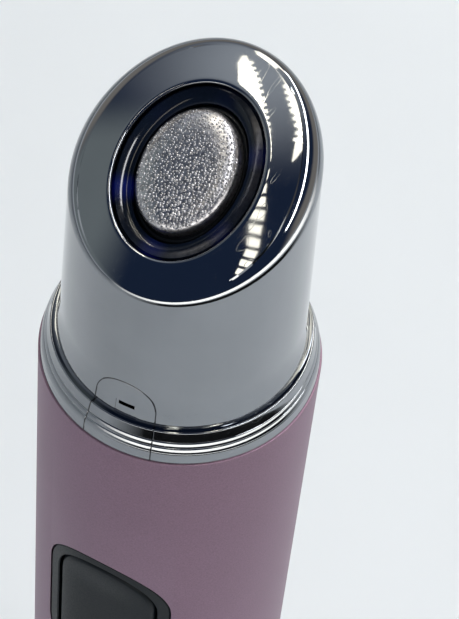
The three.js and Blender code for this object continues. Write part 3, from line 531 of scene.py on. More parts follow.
def shell_column(form, handle, azimuth):
    """The head shell's closed section at an azimuth."""
    fillet_steps = 24
    wall_steps = 14
    dome_steps = 16
    edge_steps = 5
    inner_steps = 5
    head = form.head
    face = form.face
    points = turned_column(collar_profile(form, handle), azimuth)
    rim = form.fillet(0, azimuth, fillet_steps)
    flare_top = form.foot + head.flare_height
    levels = [form.foot + head.fine_edge, form.base + (head.slot_top - head.slot_height)]
    levels += [form.base + head.slot_top] + spaced(flare_top, rim[0][1], wall_steps)[:-1]
    points += turned_column([(form.wall_radius(z), z) for z in levels] + rim, azimuth)
    angle, reach = form.opening_angle(0, azimuth, face.bezel - face.bezel_reach)
    rows = [rim[-1][0] - head.fine_edge] + spaced(rim[-1][0], reach, dome_steps)[1:-1]
    points += [form.on_dome(0, azimuth, r) for r in rows]
    for turn in spaced(0, QUARTER_TURN, edge_steps):
        out = face.bezel * (1 - math.sin(turn)) - face.bezel_reach
        x = (face.across + out) * math.cos(angle)
        y = (face.along + out) * math.sin(angle)
        points.append(form.to_wand @ Vector((x, y, form.sag(x, y) - face.bezel * (1 - math.cos(turn)))))
    x = (face.across - face.bezel_reach) * math.cos(angle)
    y = (face.along - face.bezel_reach) * math.sin(angle)
    points.append(form.to_wand @ Vector((x, y, form.sag(x, y, head.wall))))
    inner_rim = form.fillet(head.wall, azimuth, inner_steps)
    inner_reach = form.opening_angle(head.wall, azimuth, -face.bezel_reach)[1]
    inside = spaced(inner_reach, inner_rim[-1][0], inner_steps)[1:-1]
    points += [form.on_dome(head.wall, azimuth, r) for r in inside]
    points += turned_column(inner_rim[::-1], azimuth)
    points += turned_column([(form.radius - head.wall, form.base + head.wall_base)], azimuth)
    return points


def sink(work, faces, depth):
    """Sinks a patch of the wall evenly to a depth. Returns the floor's faces."""
    grown = bmesh.ops.extrude_face_region(work, geom=faces)["geom"]
    bmesh.ops.delete(work, geom=[f for f in faces if f.is_valid], context="FACES_ONLY")
    for vert in grown:
        if isinstance(vert, bmesh.types.BMVert):
            share = 1 - depth / math.hypot(vert.co.x, vert.co.y)
            vert.co.x *= share
            vert.co.y *= share
    return [f for f in grown if isinstance(f, bmesh.types.BMFace)]


def front_patch(faces, middle, half_width, low, high, level):
    """Those faces on the head's front that lie between two heights, out to a half width from a middle."""
    slack = MM / 100
    found = []
    for f in faces:
        spot = f.calc_center_median()
        inside = abs(spot.x - middle) < half_width and low - slack < spot.z < high + slack
        if inside and spot.y < level:
            found.append(f)
    return found


class BuildHeadShell(bpy.types.Operator):
    """Builds the chrome-plated head with its collar, slanted face, opening and snap slot"""

    bl_idname = "toning_wand.head_shell"
    bl_label = "Head shell"

    def execute(self, context):
        form = HeadForm(context.scene)
        head = form.head
        column_count = 240
        # Columns along the sides of the slot and its recess
        halves = [head.slot_width / 2 / form.radius, head.recess_width / 2 / form.radius]
        turn = head.slot_aside / form.radius
        marks = [turn + half for half in halves] + [turn - half for half in halves]
        angles = [FULL_TURN * (i / column_count - 0.5) for i in range(column_count)]
        near = FULL_TURN / column_count / 2
        angles = sorted([a for a in angles if all(abs(a - m) > near for m in marks)] + marks)
        columns = [shell_column(form, context.scene.wand_handle, a - QUARTER_TURN) for a in angles]
        work = loft(columns)
        top = form.base + head.slot_top
        behind = -form.radius + head.wall / 2
        side = head.slot_aside
        patch = front_patch(work.faces, side, head.recess_width / 2, top - head.recess_height, top, behind)
        floor = sink(work, patch, head.recess_depth)
        slot = front_patch(floor, side, head.slot_width / 2, top - head.slot_height, top, behind)
        dark = sink(work, slot, head.slot_depth)
        for f in dark:
            f.material_index = 1
        materials = [chrome_plated_abs(context.scene), plain_finish(context.scene, "moulded ABS")]
        shell = dressed("plated_head", tidy_mesh(work, crease=28), *materials)
        place(shell, "wand", "chrome", "head_shell")
        return {"FINISHED"}


# Light ring, cup and contact plate

def ring_profile(form, angle, edge):
    """The light ring's closed section: hollow sloping top, straight sides and a flange under the shell."""
    top_steps = 12
    narrowings = 24
    narrowing = 0.25
    face = form.face
    gap = bpy.context.scene.wand_handle.fit_gap
    hole = face.across - face.ring_width
    stretch = face.along - face.across
    rim = face.across - face.bezel_reach - gap
    flange = face.across + face.ring_flange
    flange_top = -form.head.wall - 2 * gap - face.ring_recess
    room = form.radius - form.head.wall - face.ring_recess
    # The flange gives way where the head's wall is near
    for _ in range(narrowings):
        y = (flange + stretch) * math.sin(angle)
        spot = form.to_wand @ Vector((flange * math.cos(angle), y, flange_top))
        if math.hypot(spot.x, spot.y) > room:
            flange -= (flange - rim) * narrowing
    fall = -face.ring_recess - face.ring_fall
    crest = -face.ring_recess - face.ring_fall * face.bezel_reach / (face.ring_width - gap)
    section = [
        (hole, -face.ring_bottom, False), (flange, -face.ring_bottom, False), (flange, flange_top, False),
        (rim, flange_top, False), (rim, crest - edge, True), (rim - edge, crest, True),
    ]
    for share in spaced(0, 1, top_steps)[1:]:
        drop = (fall - crest) * math.sin(QUARTER_TURN * share)
        section.append((rim + (hole - rim) * share, crest + drop, True))
    return [(q, q + stretch, height, draped) for q, height, draped in section]


class BuildLightRing(bpy.types.Operator):
    """Builds the smoked light ring with its hollow top and hidden flange"""

    bl_idname = "toning_wand.light_ring"
    bl_label = "Light ring"

    def execute(self, context):
        form = HeadForm(context.scene)
        steps = 160
        edge = 0.1 * MM
        turns = [FULL_TURN * i / steps for i in range(steps)]
        columns = [form.oval_column(ring_profile(form, a, edge), a) for a in turns]
        ring = dressed("smoked_ring", tidy_mesh(loft(columns), crease=40), smoked_acrylic(context.scene))
        place(ring, "wand", "smoked_lens", "light_ring")
        return {"FINISHED"}


class BuildCup(bpy.types.Operator):
    """Builds the black cup that holds the contact plate"""

    bl_idname = "toning_wand.cup"
    bl_label = "Electrode cup"

    def execute(self, context):
        form = HeadForm(context.scene)
        face = form.face
        handle = context.scene.wand_handle
        gap = handle.fit_gap
        edge = gap
        outer = face.across - face.ring_width - gap
        outer_along = face.along - face.ring_width - gap
        seat = face.plate_across + gap
        seat_along = face.plate_along + gap
        floor = -face.plate_shoulder - face.plate_thickness - handle.window_gap
        bottom = -face.ring_bottom - face.emitter_height - handle.window_gap
        hole = face.stud_radius * face.plate_along / face.plate_across + handle.window_gap
        ledge = floor - face.cup_floor
        top = -face.cup_drop
        profile = [
            (face.cup_hole, face.cup_hole, bottom, False), (outer, outer_along, bottom, False),
            (outer, outer_along, top - edge, True), (outer - edge, outer_along - edge, top, True),
            (seat + edge, seat_along + edge, top, True), (seat, seat_along, top - edge, True),
            (seat, seat_along, floor, False), (hole, hole, floor, False), (hole, hole, ledge, False),
            (face.cup_hole, face.cup_hole, ledge, False),
        ]
        steps = 128
        columns = [form.oval_column(profile, FULL_TURN * i / steps) for i in range(steps)]
        black = plain_finish(context.scene, "moulded ABS")
        cup = dressed("insulating_cup", tidy_mesh(loft(columns), crease=35), black)
        place(cup, "wand", "black_plastic", "electrode_cup")
        return {"FINISHED"}


def plate_height(face, share):
    """Height of the contact plate's face at a share of its radius."""
    rise = (face.plate_crown + face.plate_shoulder) * math.sqrt(max(1 - share ** face.plate_power, 0))
    return -face.plate_shoulder + rise


def pebbled_tree():
    """Raised pebbles in a jittered close pattern over the contact plate, laid on its face from above."""
    row_share = math.sqrt(0.75)
    spare = 3.0
    lift = 5 * MM
    least_size = 0.72
    most_size = 1.12
    flatness = 0.6
    tree, given = new_tree("Pebbled plate", {
        "Across": "Float", "Along": "Float", "Pitch": "Float", "Pebble Radius": "Float", "Share": "Float",
        "Jitter": "Float", "Seed": "Int", "Material": "Material",
    })
    # A square grid whose rows are drawn together and shifted by half a pitch is a close pattern
    close = add(tree, "ShaderNodeMath", {0: given["Pitch"], 1: row_share}, operation="MULTIPLY")
    spans = []
    counts = []
    for reach, share, pitch in [(given["Across"], 2.0, given["Pitch"]), (given["Along"], 2.4, close)]:
        fitting = add(tree, "ShaderNodeMath", {0: reach, 1: given["Pitch"]}, operation="DIVIDE")
        count = add(tree, "ShaderNodeMath", {0: fitting, 1: share, 2: spare}, operation="MULTIPLY_ADD")
        spans.append(add(tree, "ShaderNodeMath", {0: count, 1: pitch}, operation="MULTIPLY"))
        more = add(tree, "ShaderNodeMath", {0: count, 1: 1.0}, operation="ADD")
        counts.append(add(tree, "ShaderNodeMath", {0: more}, operation="FLOOR"))
    grid = add(tree, "GeometryNodeMeshGrid", {0: spans[0], 1: spans[1], 2: counts[0], 3: counts[1]})
    spot = add(tree, "GeometryNodeInputPosition")
    parts = add(tree, "ShaderNodeSeparateXYZ", {0: spot}).outputs
    row = add(tree, "ShaderNodeMath", {0: parts[1], 1: close}, operation="DIVIDE")
    half = add(tree, "ShaderNodeMath", {0: row, 1: 0.5}, operation="MULTIPLY")
    odd = add(tree, "ShaderNodeMath", {0: half, 1: 0.5}, operation="PINGPONG")
    shift = add(tree, "ShaderNodeMath", {0: odd, 1: given["Pitch"]}, operation="MULTIPLY")
    stray = add(tree, "ShaderNodeMath", {0: given["Pitch"], 1: given["Jitter"]}, operation="MULTIPLY")
    back = add(tree, "ShaderNodeMath", {0: stray, 1: -1.0}, operation="MULTIPLY")
    most = add(tree, "ShaderNodeCombineXYZ", {0: stray, 1: stray})
    least = add(tree, "ShaderNodeCombineXYZ", {0: back, 1: back})
    wander = add(tree, "FunctionNodeRandomValue", {
        0: least, 1: most, 8: given["Seed"],
    }, data_type="FLOAT_VECTOR")
    side = add(tree, "ShaderNodeCombineXYZ", {0: shift})
    move = add(tree, "ShaderNodeVectorMath", {0: side, 1: wander}, operation="ADD")
    laid = add(tree, "GeometryNodeSetPosition", {"Geometry": grid, "Offset": move})
    # Pebbles only where the plate is flat enough to have them
    oval = add(tree, "ShaderNodeCombineXYZ", {0: given["Across"], 1: given["Along"], 2: 1.0})
    scaled = add(tree, "ShaderNodeVectorMath", {0: spot, 1: oval}, operation="DIVIDE")
    share = add(tree, "ShaderNodeVectorMath", {0: scaled}, operation="LENGTH")
    outside = add(tree, "FunctionNodeCompare", {0: share, 1: given["Share"]}, operation="GREATER_THAN")
    kept = add(tree, "GeometryNodeDeleteGeometry", {"Geometry": laid, "Selection": outside})
    above = add(tree, "ShaderNodeVectorMath", {0: spot, 1: (0, 0, lift)}, operation="ADD")
    ray = add(tree, "GeometryNodeRaycast", {
        "Target Geometry": given["Geometry"], "Source Position": above, "Ray Direction": (0, 0, -1),
        "Ray Length": 2 * lift,
    })
    on_plate = add(tree, "GeometryNodeSetPosition", {
        "Geometry": kept, "Position": ray.outputs["Hit Position"],
    })
    pebble = add(tree, "GeometryNodeMeshUVSphere", {
        "Segments": 8, "Rings": 5, "Radius": given["Pebble Radius"],
    })
    size = add(tree, "FunctionNodeRandomValue", {
        2: least_size, 3: most_size, 8: given["Seed"],
    }, data_type="FLOAT")
    # The coining is coarser towards one side and the lower end
    lean = add(tree, "ShaderNodeVectorMath", {0: scaled, 1: (1, -1, 0)}, operation="DOT_PRODUCT")
    coarse = add(tree, "ShaderNodeMapRange", {
        "Value": lean, "From Min": -0.5, "From Max": 1.2, "To Min": 0.85, "To Max": 1.4,
    })
    grown = add(tree, "ShaderNodeMath", {0: size, 1: coarse}, operation="MULTIPLY")
    flat = add(tree, "ShaderNodeMath", {0: grown, 1: flatness}, operation="MULTIPLY")
    scale = add(tree, "ShaderNodeCombineXYZ", {0: grown, 1: grown, 2: flat})
    pebbles = add(tree, "GeometryNodeInstanceOnPoints", {
        "Points": on_plate, "Instance": pebble, "Scale": scale,
    })
    both = add(tree, "GeometryNodeJoinGeometry", {"Geometry": [pebbles, given["Geometry"]]})
    end_tree(tree, both, given["Material"])
    return tree


class BuildContactPlate(bpy.types.Operator):
    """Builds the oval steel contact plate with its polished shoulder and pebbled face"""

    bl_idname = "toning_wand.contact_plate"
    bl_label = "Contact plate"

    def execute(self, context):
        form = HeadForm(context.scene)
        face = form.face
        steps = 128
        crown_steps = 22
        under = -face.plate_shoulder - face.plate_thickness
        stud_end = under - face.stud_length
        profile = [(0, 0, stud_end), (face.stud_radius, face.stud_radius, stud_end)]
        profile += [(face.stud_radius, face.stud_radius, under), (face.plate_across, face.plate_along, under)]
        for turn in spaced(QUARTER_TURN, 0, crown_steps):
            share = math.sin(turn)
            profile.append((face.plate_across * share, face.plate_along * share, plate_height(face, share)))
        columns = []
        for i in range(steps):
            turn = FULL_TURN * i / steps
            columns.append([Vector((a * math.cos(turn), b * math.sin(turn), h)) for a, b, h in profile])
        plate = show("contact_plate", tidy_mesh(loft(columns, closed=False), crease=50))
        grow(plate, pebbled_tree(), {
            "Across": face.plate_across, "Along": face.plate_along, "Pitch": face.pebble_pitch,
            "Pebble Radius": face.pebble_radius, "Share": 0.95, "Jitter": 0.32, "Seed": 5,
            "Material": pebbled_steel(context.scene),
        }, crease=60)
        plate.data.transform(form.to_wand)
        place(plate, "wand", "plate_steel", "electrode")
        return {"FINISHED"}


# Emitters and spring

def emitters_tree():
    """Light emitters evenly spaced round an oval: a square body each with a low lens."""
    body_share = 0.8
    lens_share = 0.36
    lens_rise = 0.36
    lens_flatness = 0.32
    tree, given = new_tree("Emitters", {
        "Count": "Int", "Across": "Float", "Along": "Float", "Size": "Float", "Height": "Float",
        "Depth": "Float", "Material": "Material",
    })
    circle = add(tree, "GeometryNodeMeshCircle", {"Vertices": given["Count"], "Radius": 1.0})
    half_step = add(tree, "ShaderNodeMath", {0: math.pi, 1: given["Count"]}, operation="DIVIDE")
    turn = add(tree, "ShaderNodeCombineXYZ", {2: half_step})
    turned = add(tree, "GeometryNodeTransform", {"Geometry": circle, "Rotation": turn})
    stretch = add(tree, "ShaderNodeCombineXYZ", {0: given["Across"], 1: given["Along"], 2: 1.0})
    drop = add(tree, "ShaderNodeMath", {0: given["Depth"], 1: -1.0}, operation="MULTIPLY")
    down = add(tree, "ShaderNodeCombineXYZ", {2: drop})
    oval = add(tree, "GeometryNodeTransform", {"Geometry": turned, "Scale": stretch, "Translation": down})
    body_height = add(tree, "ShaderNodeMath", {0: given["Height"], 1: body_share}, operation="MULTIPLY")
    block = add(tree, "ShaderNodeCombineXYZ", {0: given["Size"], 1: given["Size"], 2: body_height})
    body = add(tree, "GeometryNodeMeshCube", {"Size": block})
    lens_radius = add(tree, "ShaderNodeMath", {0: given["Size"], 1: lens_share}, operation="MULTIPLY")
    lens = add(tree, "GeometryNodeMeshUVSphere", {"Segments": 20, "Rings": 10, "Radius": lens_radius})
    rise = add(tree, "ShaderNodeMath", {0: given["Height"], 1: lens_rise}, operation="MULTIPLY")
    up = add(tree, "ShaderNodeCombineXYZ", {2: rise})
    low_lens = add(tree, "GeometryNodeTransform", {
        "Geometry": lens, "Translation": up, "Scale": (1, 1, lens_flatness),
    })
    both = add(tree, "GeometryNodeJoinGeometry", {"Geometry": [body, low_lens]})
    placed = add(tree, "GeometryNodeInstanceOnPoints", {"Points": oval, "Instance": both})
    end_tree(tree, placed, given["Material"])
    return tree


def spring_tree():
    """A wire wound into a coil."""
    tree, given = new_tree("Coil spring", {
        "Radius": "Float", "Wire": "Float", "Turns": "Float", "Height": "Float", "Bottom": "Float",
        "Material": "Material",
    })
    path = add(tree, "GeometryNodeCurveSpiral", {
        "Resolution": 40, "Rotations": given["Turns"], "Start Radius": given["Radius"],
        "End Radius": given["Radius"], "Height": given["Height"],
    })
    thread = add(tree, "GeometryNodeCurvePrimitiveCircle", {"Resolution": 14, "Radius": given["Wire"]})
    coil = add(tree, "GeometryNodeCurveToMesh", {"Curve": path, "Profile Curve": thread, "Fill Caps": True})
    up = add(tree, "ShaderNodeCombineXYZ", {2: given["Bottom"]})
    raised = add(tree, "GeometryNodeTransform", {"Geometry": coil, "Translation": up})
    end_tree(tree, raised, given["Material"])
    return tree


class BuildEmitters(bpy.types.Operator):
    """Builds the light emitters under the ring and the spring under the contact plate"""

    bl_idname = "toning_wand.emitters"
    bl_label = "Emitters and spring"

    def execute(self, context):
        form = HeadForm(context.scene)
        face = form.face
        gap = context.scene.wand_handle.window_gap
        depth = face.ring_bottom + gap + face.emitter_height / 2
        lights = sprout("emitters", emitters_tree(), {
            "Count": face.emitter_count, "Across": face.across - face.emitter_inset,
            "Along": face.along - face.emitter_inset, "Size": face.emitter_size,
            "Height": face.emitter_height, "Depth": depth,
            "Material": plain_finish(context.scene, "cast epoxy"),
        }, crease=30)
        lights.data.transform(form.to_wand)
        nodes = [f"led_{i + 1}" for i in range(face.emitter_count)]
        place(lights, "wand", "emitter", *nodes)
        top = -face.plate_shoulder - face.plate_thickness - face.stud_length - gap - face.spring_wire
        bottom = -face.ring_bottom - gap - face.emitter_height + gap
        spring = sprout("plate_spring", spring_tree(), {
            "Radius": face.spring_radius, "Wire": face.spring_wire, "Turns": face.spring_turns,
            "Height": top - bottom, "Bottom": bottom, "Material": plain_finish(context.scene, "nickel plate"),
        }, crease=40)
        spring.data.transform(form.to_wand)
        place(spring, "wand", "nickel", "contact_spring")
        return {"FINISHED"}


# Handle, end cap and seals

def tube_tree():
    """A tube with rounded edges and a track-shaped window in its front."""
    nearly_half = 0.4999
    overrun = 1.5
    tree, given = new_tree("Windowed tube", {
        "Radius": "Float", "Wall": "Float", "Bottom": "Float", "Top": "Float", "Edge": "Float",
        "Window Width": "Float", "Window Length": "Float", "Window Middle": "Float", "Material": "Material",
    })
    tall = add(tree, "ShaderNodeMath", {0: given["Top"], 1: given["Bottom"]}, operation="SUBTRACT")
    section = add(tree, "GeometryNodeCurvePrimitiveQuadrilateral", {"Width": given["Wall"], "Height": tall})
    soft = add(tree, "GeometryNodeFilletCurve", {
        "Curve": section, "Count": 4, "Radius": given["Edge"],
    }, mode="POLY")
    middle = add(tree, "ShaderNodeMath", {0: given["Top"], 1: given["Bottom"]}, operation="ADD")
    half_up = add(tree, "ShaderNodeMath", {0: middle, 1: -0.5}, operation="MULTIPLY")
    half_wall = add(tree, "ShaderNodeMath", {0: given["Wall"], 1: -0.5}, operation="MULTIPLY")
    shift = add(tree, "ShaderNodeCombineXYZ", {0: half_wall, 1: half_up})
    set_off = add(tree, "GeometryNodeTransform", {"Geometry": soft, "Translation": shift})
    path = add(tree, "GeometryNodeCurvePrimitiveCircle", {"Resolution": 192, "Radius": given["Radius"]})
    tube = add(tree, "GeometryNodeCurveToMesh", {"Curve": path, "Profile Curve": set_off})
    outline = add(tree, "GeometryNodeCurvePrimitiveQuadrilateral", {
        "Width": given["Window Width"], "Height": given["Window Length"],
    })
    end_round = add(tree, "ShaderNodeMath", {0: given["Window Width"], 1: nearly_half}, operation="MULTIPLY")
    track = add(tree, "GeometryNodeFilletCurve", {
        "Curve": outline, "Count": 32, "Radius": end_round,
    }, mode="POLY")
    slab = add(tree, "GeometryNodeFillCurve", {"Curve": track}, mode="NGONS")
    reach = add(tree, "ShaderNodeMath", {0: given["Radius"], 1: overrun}, operation="MULTIPLY")
    block = add(tree, "GeometryNodeExtrudeMesh", {"Mesh": slab, "Offset Scale": reach, "Individual": False})
    base = add(tree, "GeometryNodeFlipFaces", {"Mesh": slab})
    capped = add(tree, "GeometryNodeJoinGeometry", {"Geometry": [base, block]})
    whole = add(tree, "GeometryNodeMergeByDistance", {"Geometry": capped, "Distance": MM / 1000})
    up = add(tree, "ShaderNodeCombineXYZ", {2: given["Window Middle"]})
    upright = add(tree, "GeometryNodeTransform", {
        "Geometry": whole, "Rotation": (QUARTER_TURN, 0, 0), "Translation": up,
    })
    opened = add(tree, "GeometryNodeMeshBoolean", {
        "Mesh 1": tube, "Mesh 2": upright,
    }, operation="DIFFERENCE", solver="EXACT")
    end_tree(tree, opened, given["Material"])
    return tree


def seal_tree():
    """A rubber ring pressed a little flat."""
    tree, given = new_tree("Seal ring", {
        "Radius": "Float", "Half Width": "Float", "Half Height": "Float", "Height": "Float",
        "Material": "Material",
    })
    path = add(tree, "GeometryNodeCurvePrimitiveCircle", {"Resolution": 128, "Radius": given["Radius"]})
    cord = add(tree, "GeometryNodeCurvePrimitiveCircle", {"Resolution": 20, "Radius": 1.0})
    flat = add(tree, "ShaderNodeCombineXYZ", {0: given["Half Width"], 1: given["Half Height"], 2: 1.0})
    pressed = add(tree, "GeometryNodeTransform", {"Geometry": cord, "Scale": flat})
    ring = add(tree, "GeometryNodeCurveToMesh", {"Curve": path, "Profile Curve": pressed})
    up = add(tree, "ShaderNodeCombineXYZ", {2: given["Height"]})
    raised = add(tree, "GeometryNodeTransform", {"Geometry": ring, "Translation": up})
    end_tree(tree, raised, given["Material"])
    return tree


class BuildHandle(bpy.types.Operator):
    """Builds the anodised tube with the button's window and the two seals"""

    bl_idname = "toning_wand.handle"
    bl_label = "Handle and seals"

    def execute(self, context):
        handle = context.scene.wand_handle
        head = context.scene.wand_head
        button = context.scene.wand_button
        tube = sprout("anodised_tube", tube_tree(), {
            "Radius": handle.radius, "Wall": handle.wall, "Bottom": handle.bottom, "Top": handle.top,
            "Edge": handle.edge, "Window Width": button.width, "Window Length": button.height,
            "Window Middle": button.middle, "Material": anodised_aluminium(context.scene),
        }, crease=30)
        place(tube, "wand", "mauve_metal", "handle_tube")
        bore = handle.radius - handle.wall
        cavity = handle.radius - head.step - head.wall
        hollow = bore - handle.fit_gap - handle.spigot_wall
        tree = seal_tree()
        rubber = plain_finish(context.scene, "silicone rubber")
        levels = {
            "head_seal": (cavity, handle.top - head.seal_depth),
            "base_seal": (hollow, handle.bottom + handle.seal_rise),
        }
        for node, (inner, low) in levels.items():
            floor = inner + handle.seal_wall
            half = (bore - floor) / 2 - handle.fit_gap
            seal = sprout(node + "_ring", tree, {
                "Radius": (bore + floor) / 2, "Half Width": half,
                "Half Height": min(half, handle.seal_height / 2 - handle.fit_gap),
                "Height": low + handle.seal_height / 2, "Material": rubber,
            }, crease=180)
            place(seal, "wand", "seal_rubber", node)
        return {"FINISHED"}


class BuildEndCap(bpy.types.Operator):
    """Builds the plated end cap with its spigot and the charging socket's window"""

    bl_idname = "toning_wand.end_cap"
    bl_label = "End cap"

    def execute(self, context):
        handle = context.scene.wand_handle
        low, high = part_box("charging_socket")
        across = high.x - low.x + 2 * handle.window_gap
        thick = high.y - low.y + 2 * handle.window_gap
        edge = handle.edge
        outer = handle.radius - handle.cap_inset
        spigot = handle.radius - handle.wall - handle.fit_gap
        hollow = spigot - handle.spigot_wall
        flat = outer - handle.cap_edge
        top = handle.cap_band + handle.spigot
        steps = 192
        edge_steps = 8
        floor_steps = 6
        turned = []
        for turn in spaced(-QUARTER_TURN, 0, edge_steps):
            turned.append((flat + handle.cap_edge * math.cos(turn), handle.cap_edge * (1 + math.sin(turn))))
        band = handle.cap_band
        turned += [(outer, band - edge), (outer - edge, band), (spigot, band)]
        seal_low = band + handle.seal_rise
        turned += groove_profile(spigot, hollow + handle.seal_wall, seal_low, handle.seal_height)
        turned += [(spigot, top), (hollow, top), (hollow, handle.cap_floor)]
        columns = []
        for i in range(steps):
            share = i / steps
            tall, wide = obround(thick, across, share)
            window = Vector((wide, -tall, 0))
            lip = window + window.normalized() * edge
            around = [window + Vector((0, 0, handle.cap_floor)), window + Vector((0, 0, edge)), lip]
            azimuth = FULL_TURN * share - QUARTER_TURN
            rim = turned_column([(flat, 0)], azimuth)[0]
            around += [lip.lerp(rim, part) for part in spaced(0, 1, floor_steps)[1:-1]]
            columns.append(around + turned_column(turned, azimuth))
        cap = dressed("plated_cap", tidy_mesh(loft(columns), crease=28), chrome_plated_abs(context.scene))
        place(cap, "wand", "chrome", "end_cap")
        return {"FINISHED"}


# Button

def on_handle(scene, width, height, depth, share):
    """A point of a track-shaped outline on the handle's front, at a depth under the tube's surface."""
    x, z = obround(width, height, share)
    reach = scene.wand_handle.radius - depth
    return Vector((x, -math.sqrt(reach ** 2 - x ** 2), scene.wand_button.middle + z))


def outline_columns(scene, profile, steps=128):
    """Columns of a piece in the window, from points of how much narrower than the window, and depth."""
    button = scene.wand_button
    columns = []
    for i in range(steps):
        share = i / steps
        spots = [(button.width - 2 * trim, button.height - 2 * trim, depth) for trim, depth in profile]
        columns.append([on_handle(scene, w, h, depth, share) for w, h, depth in spots])
    return columns


class BuildButton(bpy.types.Operator):
    """Builds the long button and the fixed surround that frames it"""

    bl_idname = "toning_wand.button"
    bl_label = "Button and surround"

    def execute(self, context):
        scene = context.scene
        button = scene.wand_button
        back_steps = 6
        edge_steps = 6
        dish_steps = 8
        gap = scene.wand_handle.fit_gap
        edge = gap
        inner = gap + button.surround_width
        lip_out = -button.lip_reach
        lip_in = lip_out + button.lip_width
        shelf = scene.wand_handle.wall + scene.wand_handle.window_gap
        frame_section = [
            (inner, button.surround_depth), (inner, button.surround_inset + edge),
            (inner - edge, button.surround_inset), (gap + edge, button.surround_inset),
            (gap, button.surround_inset + edge), (gap, shelf), (lip_out, shelf),
            (lip_out, button.lip_depth), (lip_in, button.lip_depth), (lip_in, button.surround_depth),
        ]
        lacquer = plain_finish(scene, "soft-touch lacquer")
        mesh = tidy_mesh(loft(outline_columns(scene, frame_section)), crease=32)
        place(dressed("button_frame", mesh, lacquer), "wand", "button_black", "button_surround")
        side = inner + button.key_gap
        half = button.width / 2
        shelf = button.key_depth - button.flange
        brim = side - button.flange_reach
        # The back follows the handle's curve
        key_section = [(trim, button.key_depth) for trim in spaced(half, brim, back_steps)]
        key_section += [(brim, shelf), (side, shelf)]
        for turn in spaced(0, QUARTER_TURN, edge_steps):
            trim = side + button.key_round * (1 - math.cos(turn))
            key_section.append((trim, button.key_inset + button.key_round * (1 - math.sin(turn))))
        start = side + button.key_round
        for share in spaced(0, 1, dish_steps)[1:]:
            dish = button.key_dish * math.sin(QUARTER_TURN * share) ** 2
            key_section.append((start + (half - start) * share, button.key_inset + dish))
        mesh = tidy_mesh(loft(outline_columns(scene, key_section), closed=False), crease=35)
        place(dressed("long_button", mesh, lacquer), "button", "button_black", "power_button")
        return {"FINISHED"}


# Materials

def start_material(name):
    """Starts a material. Returns it, its tree, its shader and the piece's own coordinates in metres."""
    material = bpy.data.materials.get(name) or bpy.data.materials.new(name)
    material.use_nodes = True
    tree = material.node_tree
    tree.nodes.clear()
    shader = add(tree, "ShaderNodeBsdfPrincipled")
    add(tree, "ShaderNodeOutputMaterial", {"Surface": shader})
    return material, tree, shader, add(tree, "ShaderNodeTexCoord").outputs["Object"]


def shade(colour, share=1):
    """A colour with full opacity, made darker or lighter."""
    return (*[min(part * share, 1) for part in colour], 1)


def coat(tree, shader, colour, shades, drift, grain, gloss, depth):
    """What most finishes have: a colour that drifts between two shades, and gloss and a fine bump that follow
    the grain."""
    toned = add(tree, "ShaderNodeMix", {
        0: drift, 6: shade(colour, shades[0]), 7: shade(colour, shades[1]),
    }, data_type="RGBA")
    rough = add(tree, "ShaderNodeMapRange", {
        "Value": grain, "From Min": 0.3, "From Max": 0.7, "To Min": gloss[0], "To Max": gloss[1],
    })
    bump = add(tree, "ShaderNodeBump", {"Height": grain, "Distance": depth, "Strength": 1.0})
    wire(tree, shader, {"Base Color": toned, "Roughness": rough, "Normal": bump})


def slide_line(tree, spot, form):
    """The thin line that the mould's slide leaves: an arch on the front of the wall, with straight sides down
    over the collar. It is one on the line and nought elsewhere."""
    head = form.head
    parts = add(tree, "ShaderNodeSeparateXYZ", {0: spot}).outputs
    front = add(tree, "ShaderNodeMath", {0: parts[1], 1: -1.0}, operation="MULTIPLY")
    around = add(tree, "ShaderNodeMath", {0: parts[0], 1: front}, operation="ARCTAN2")
    round_front = add(tree, "ShaderNodeMath", {0: around, 1: form.radius}, operation="MULTIPLY")
    aside = add(tree, "ShaderNodeMath", {0: round_front, 1: head.arch_aside}, operation="SUBTRACT")
    rise = add(tree, "ShaderNodeMath", {0: parts[2], 1: form.base + head.arch_rise}, operation="SUBTRACT")
    over = add(tree, "ShaderNodeMath", {0: rise, 1: 0.0}, operation="MAXIMUM")
    flat = add(tree, "ShaderNodeCombineXYZ", {0: aside, 1: over})
    reach = add(tree, "ShaderNodeVectorMath", {0: flat}, operation="LENGTH")
    off = add(tree, "ShaderNodeMath", {0: reach, 1: head.arch_radius}, operation="SUBTRACT")
    near = add(tree, "ShaderNodeMath", {0: off}, operation="ABSOLUTE")
    # Full within 0.03 mm of its middle and gone at 0.075 mm
    line = add(tree, "ShaderNodeMapRange", {
        "Value": near, "From Min": 0.03 * MM, "From Max": 0.075 * MM, "To Min": 1.0, "To Max": 0.0,
    })
    above = add(tree, "ShaderNodeMath", {0: parts[2], 1: form.base}, operation="GREATER_THAN")
    return add(tree, "ShaderNodeMath", {0: line, 1: above}, operation="MULTIPLY")


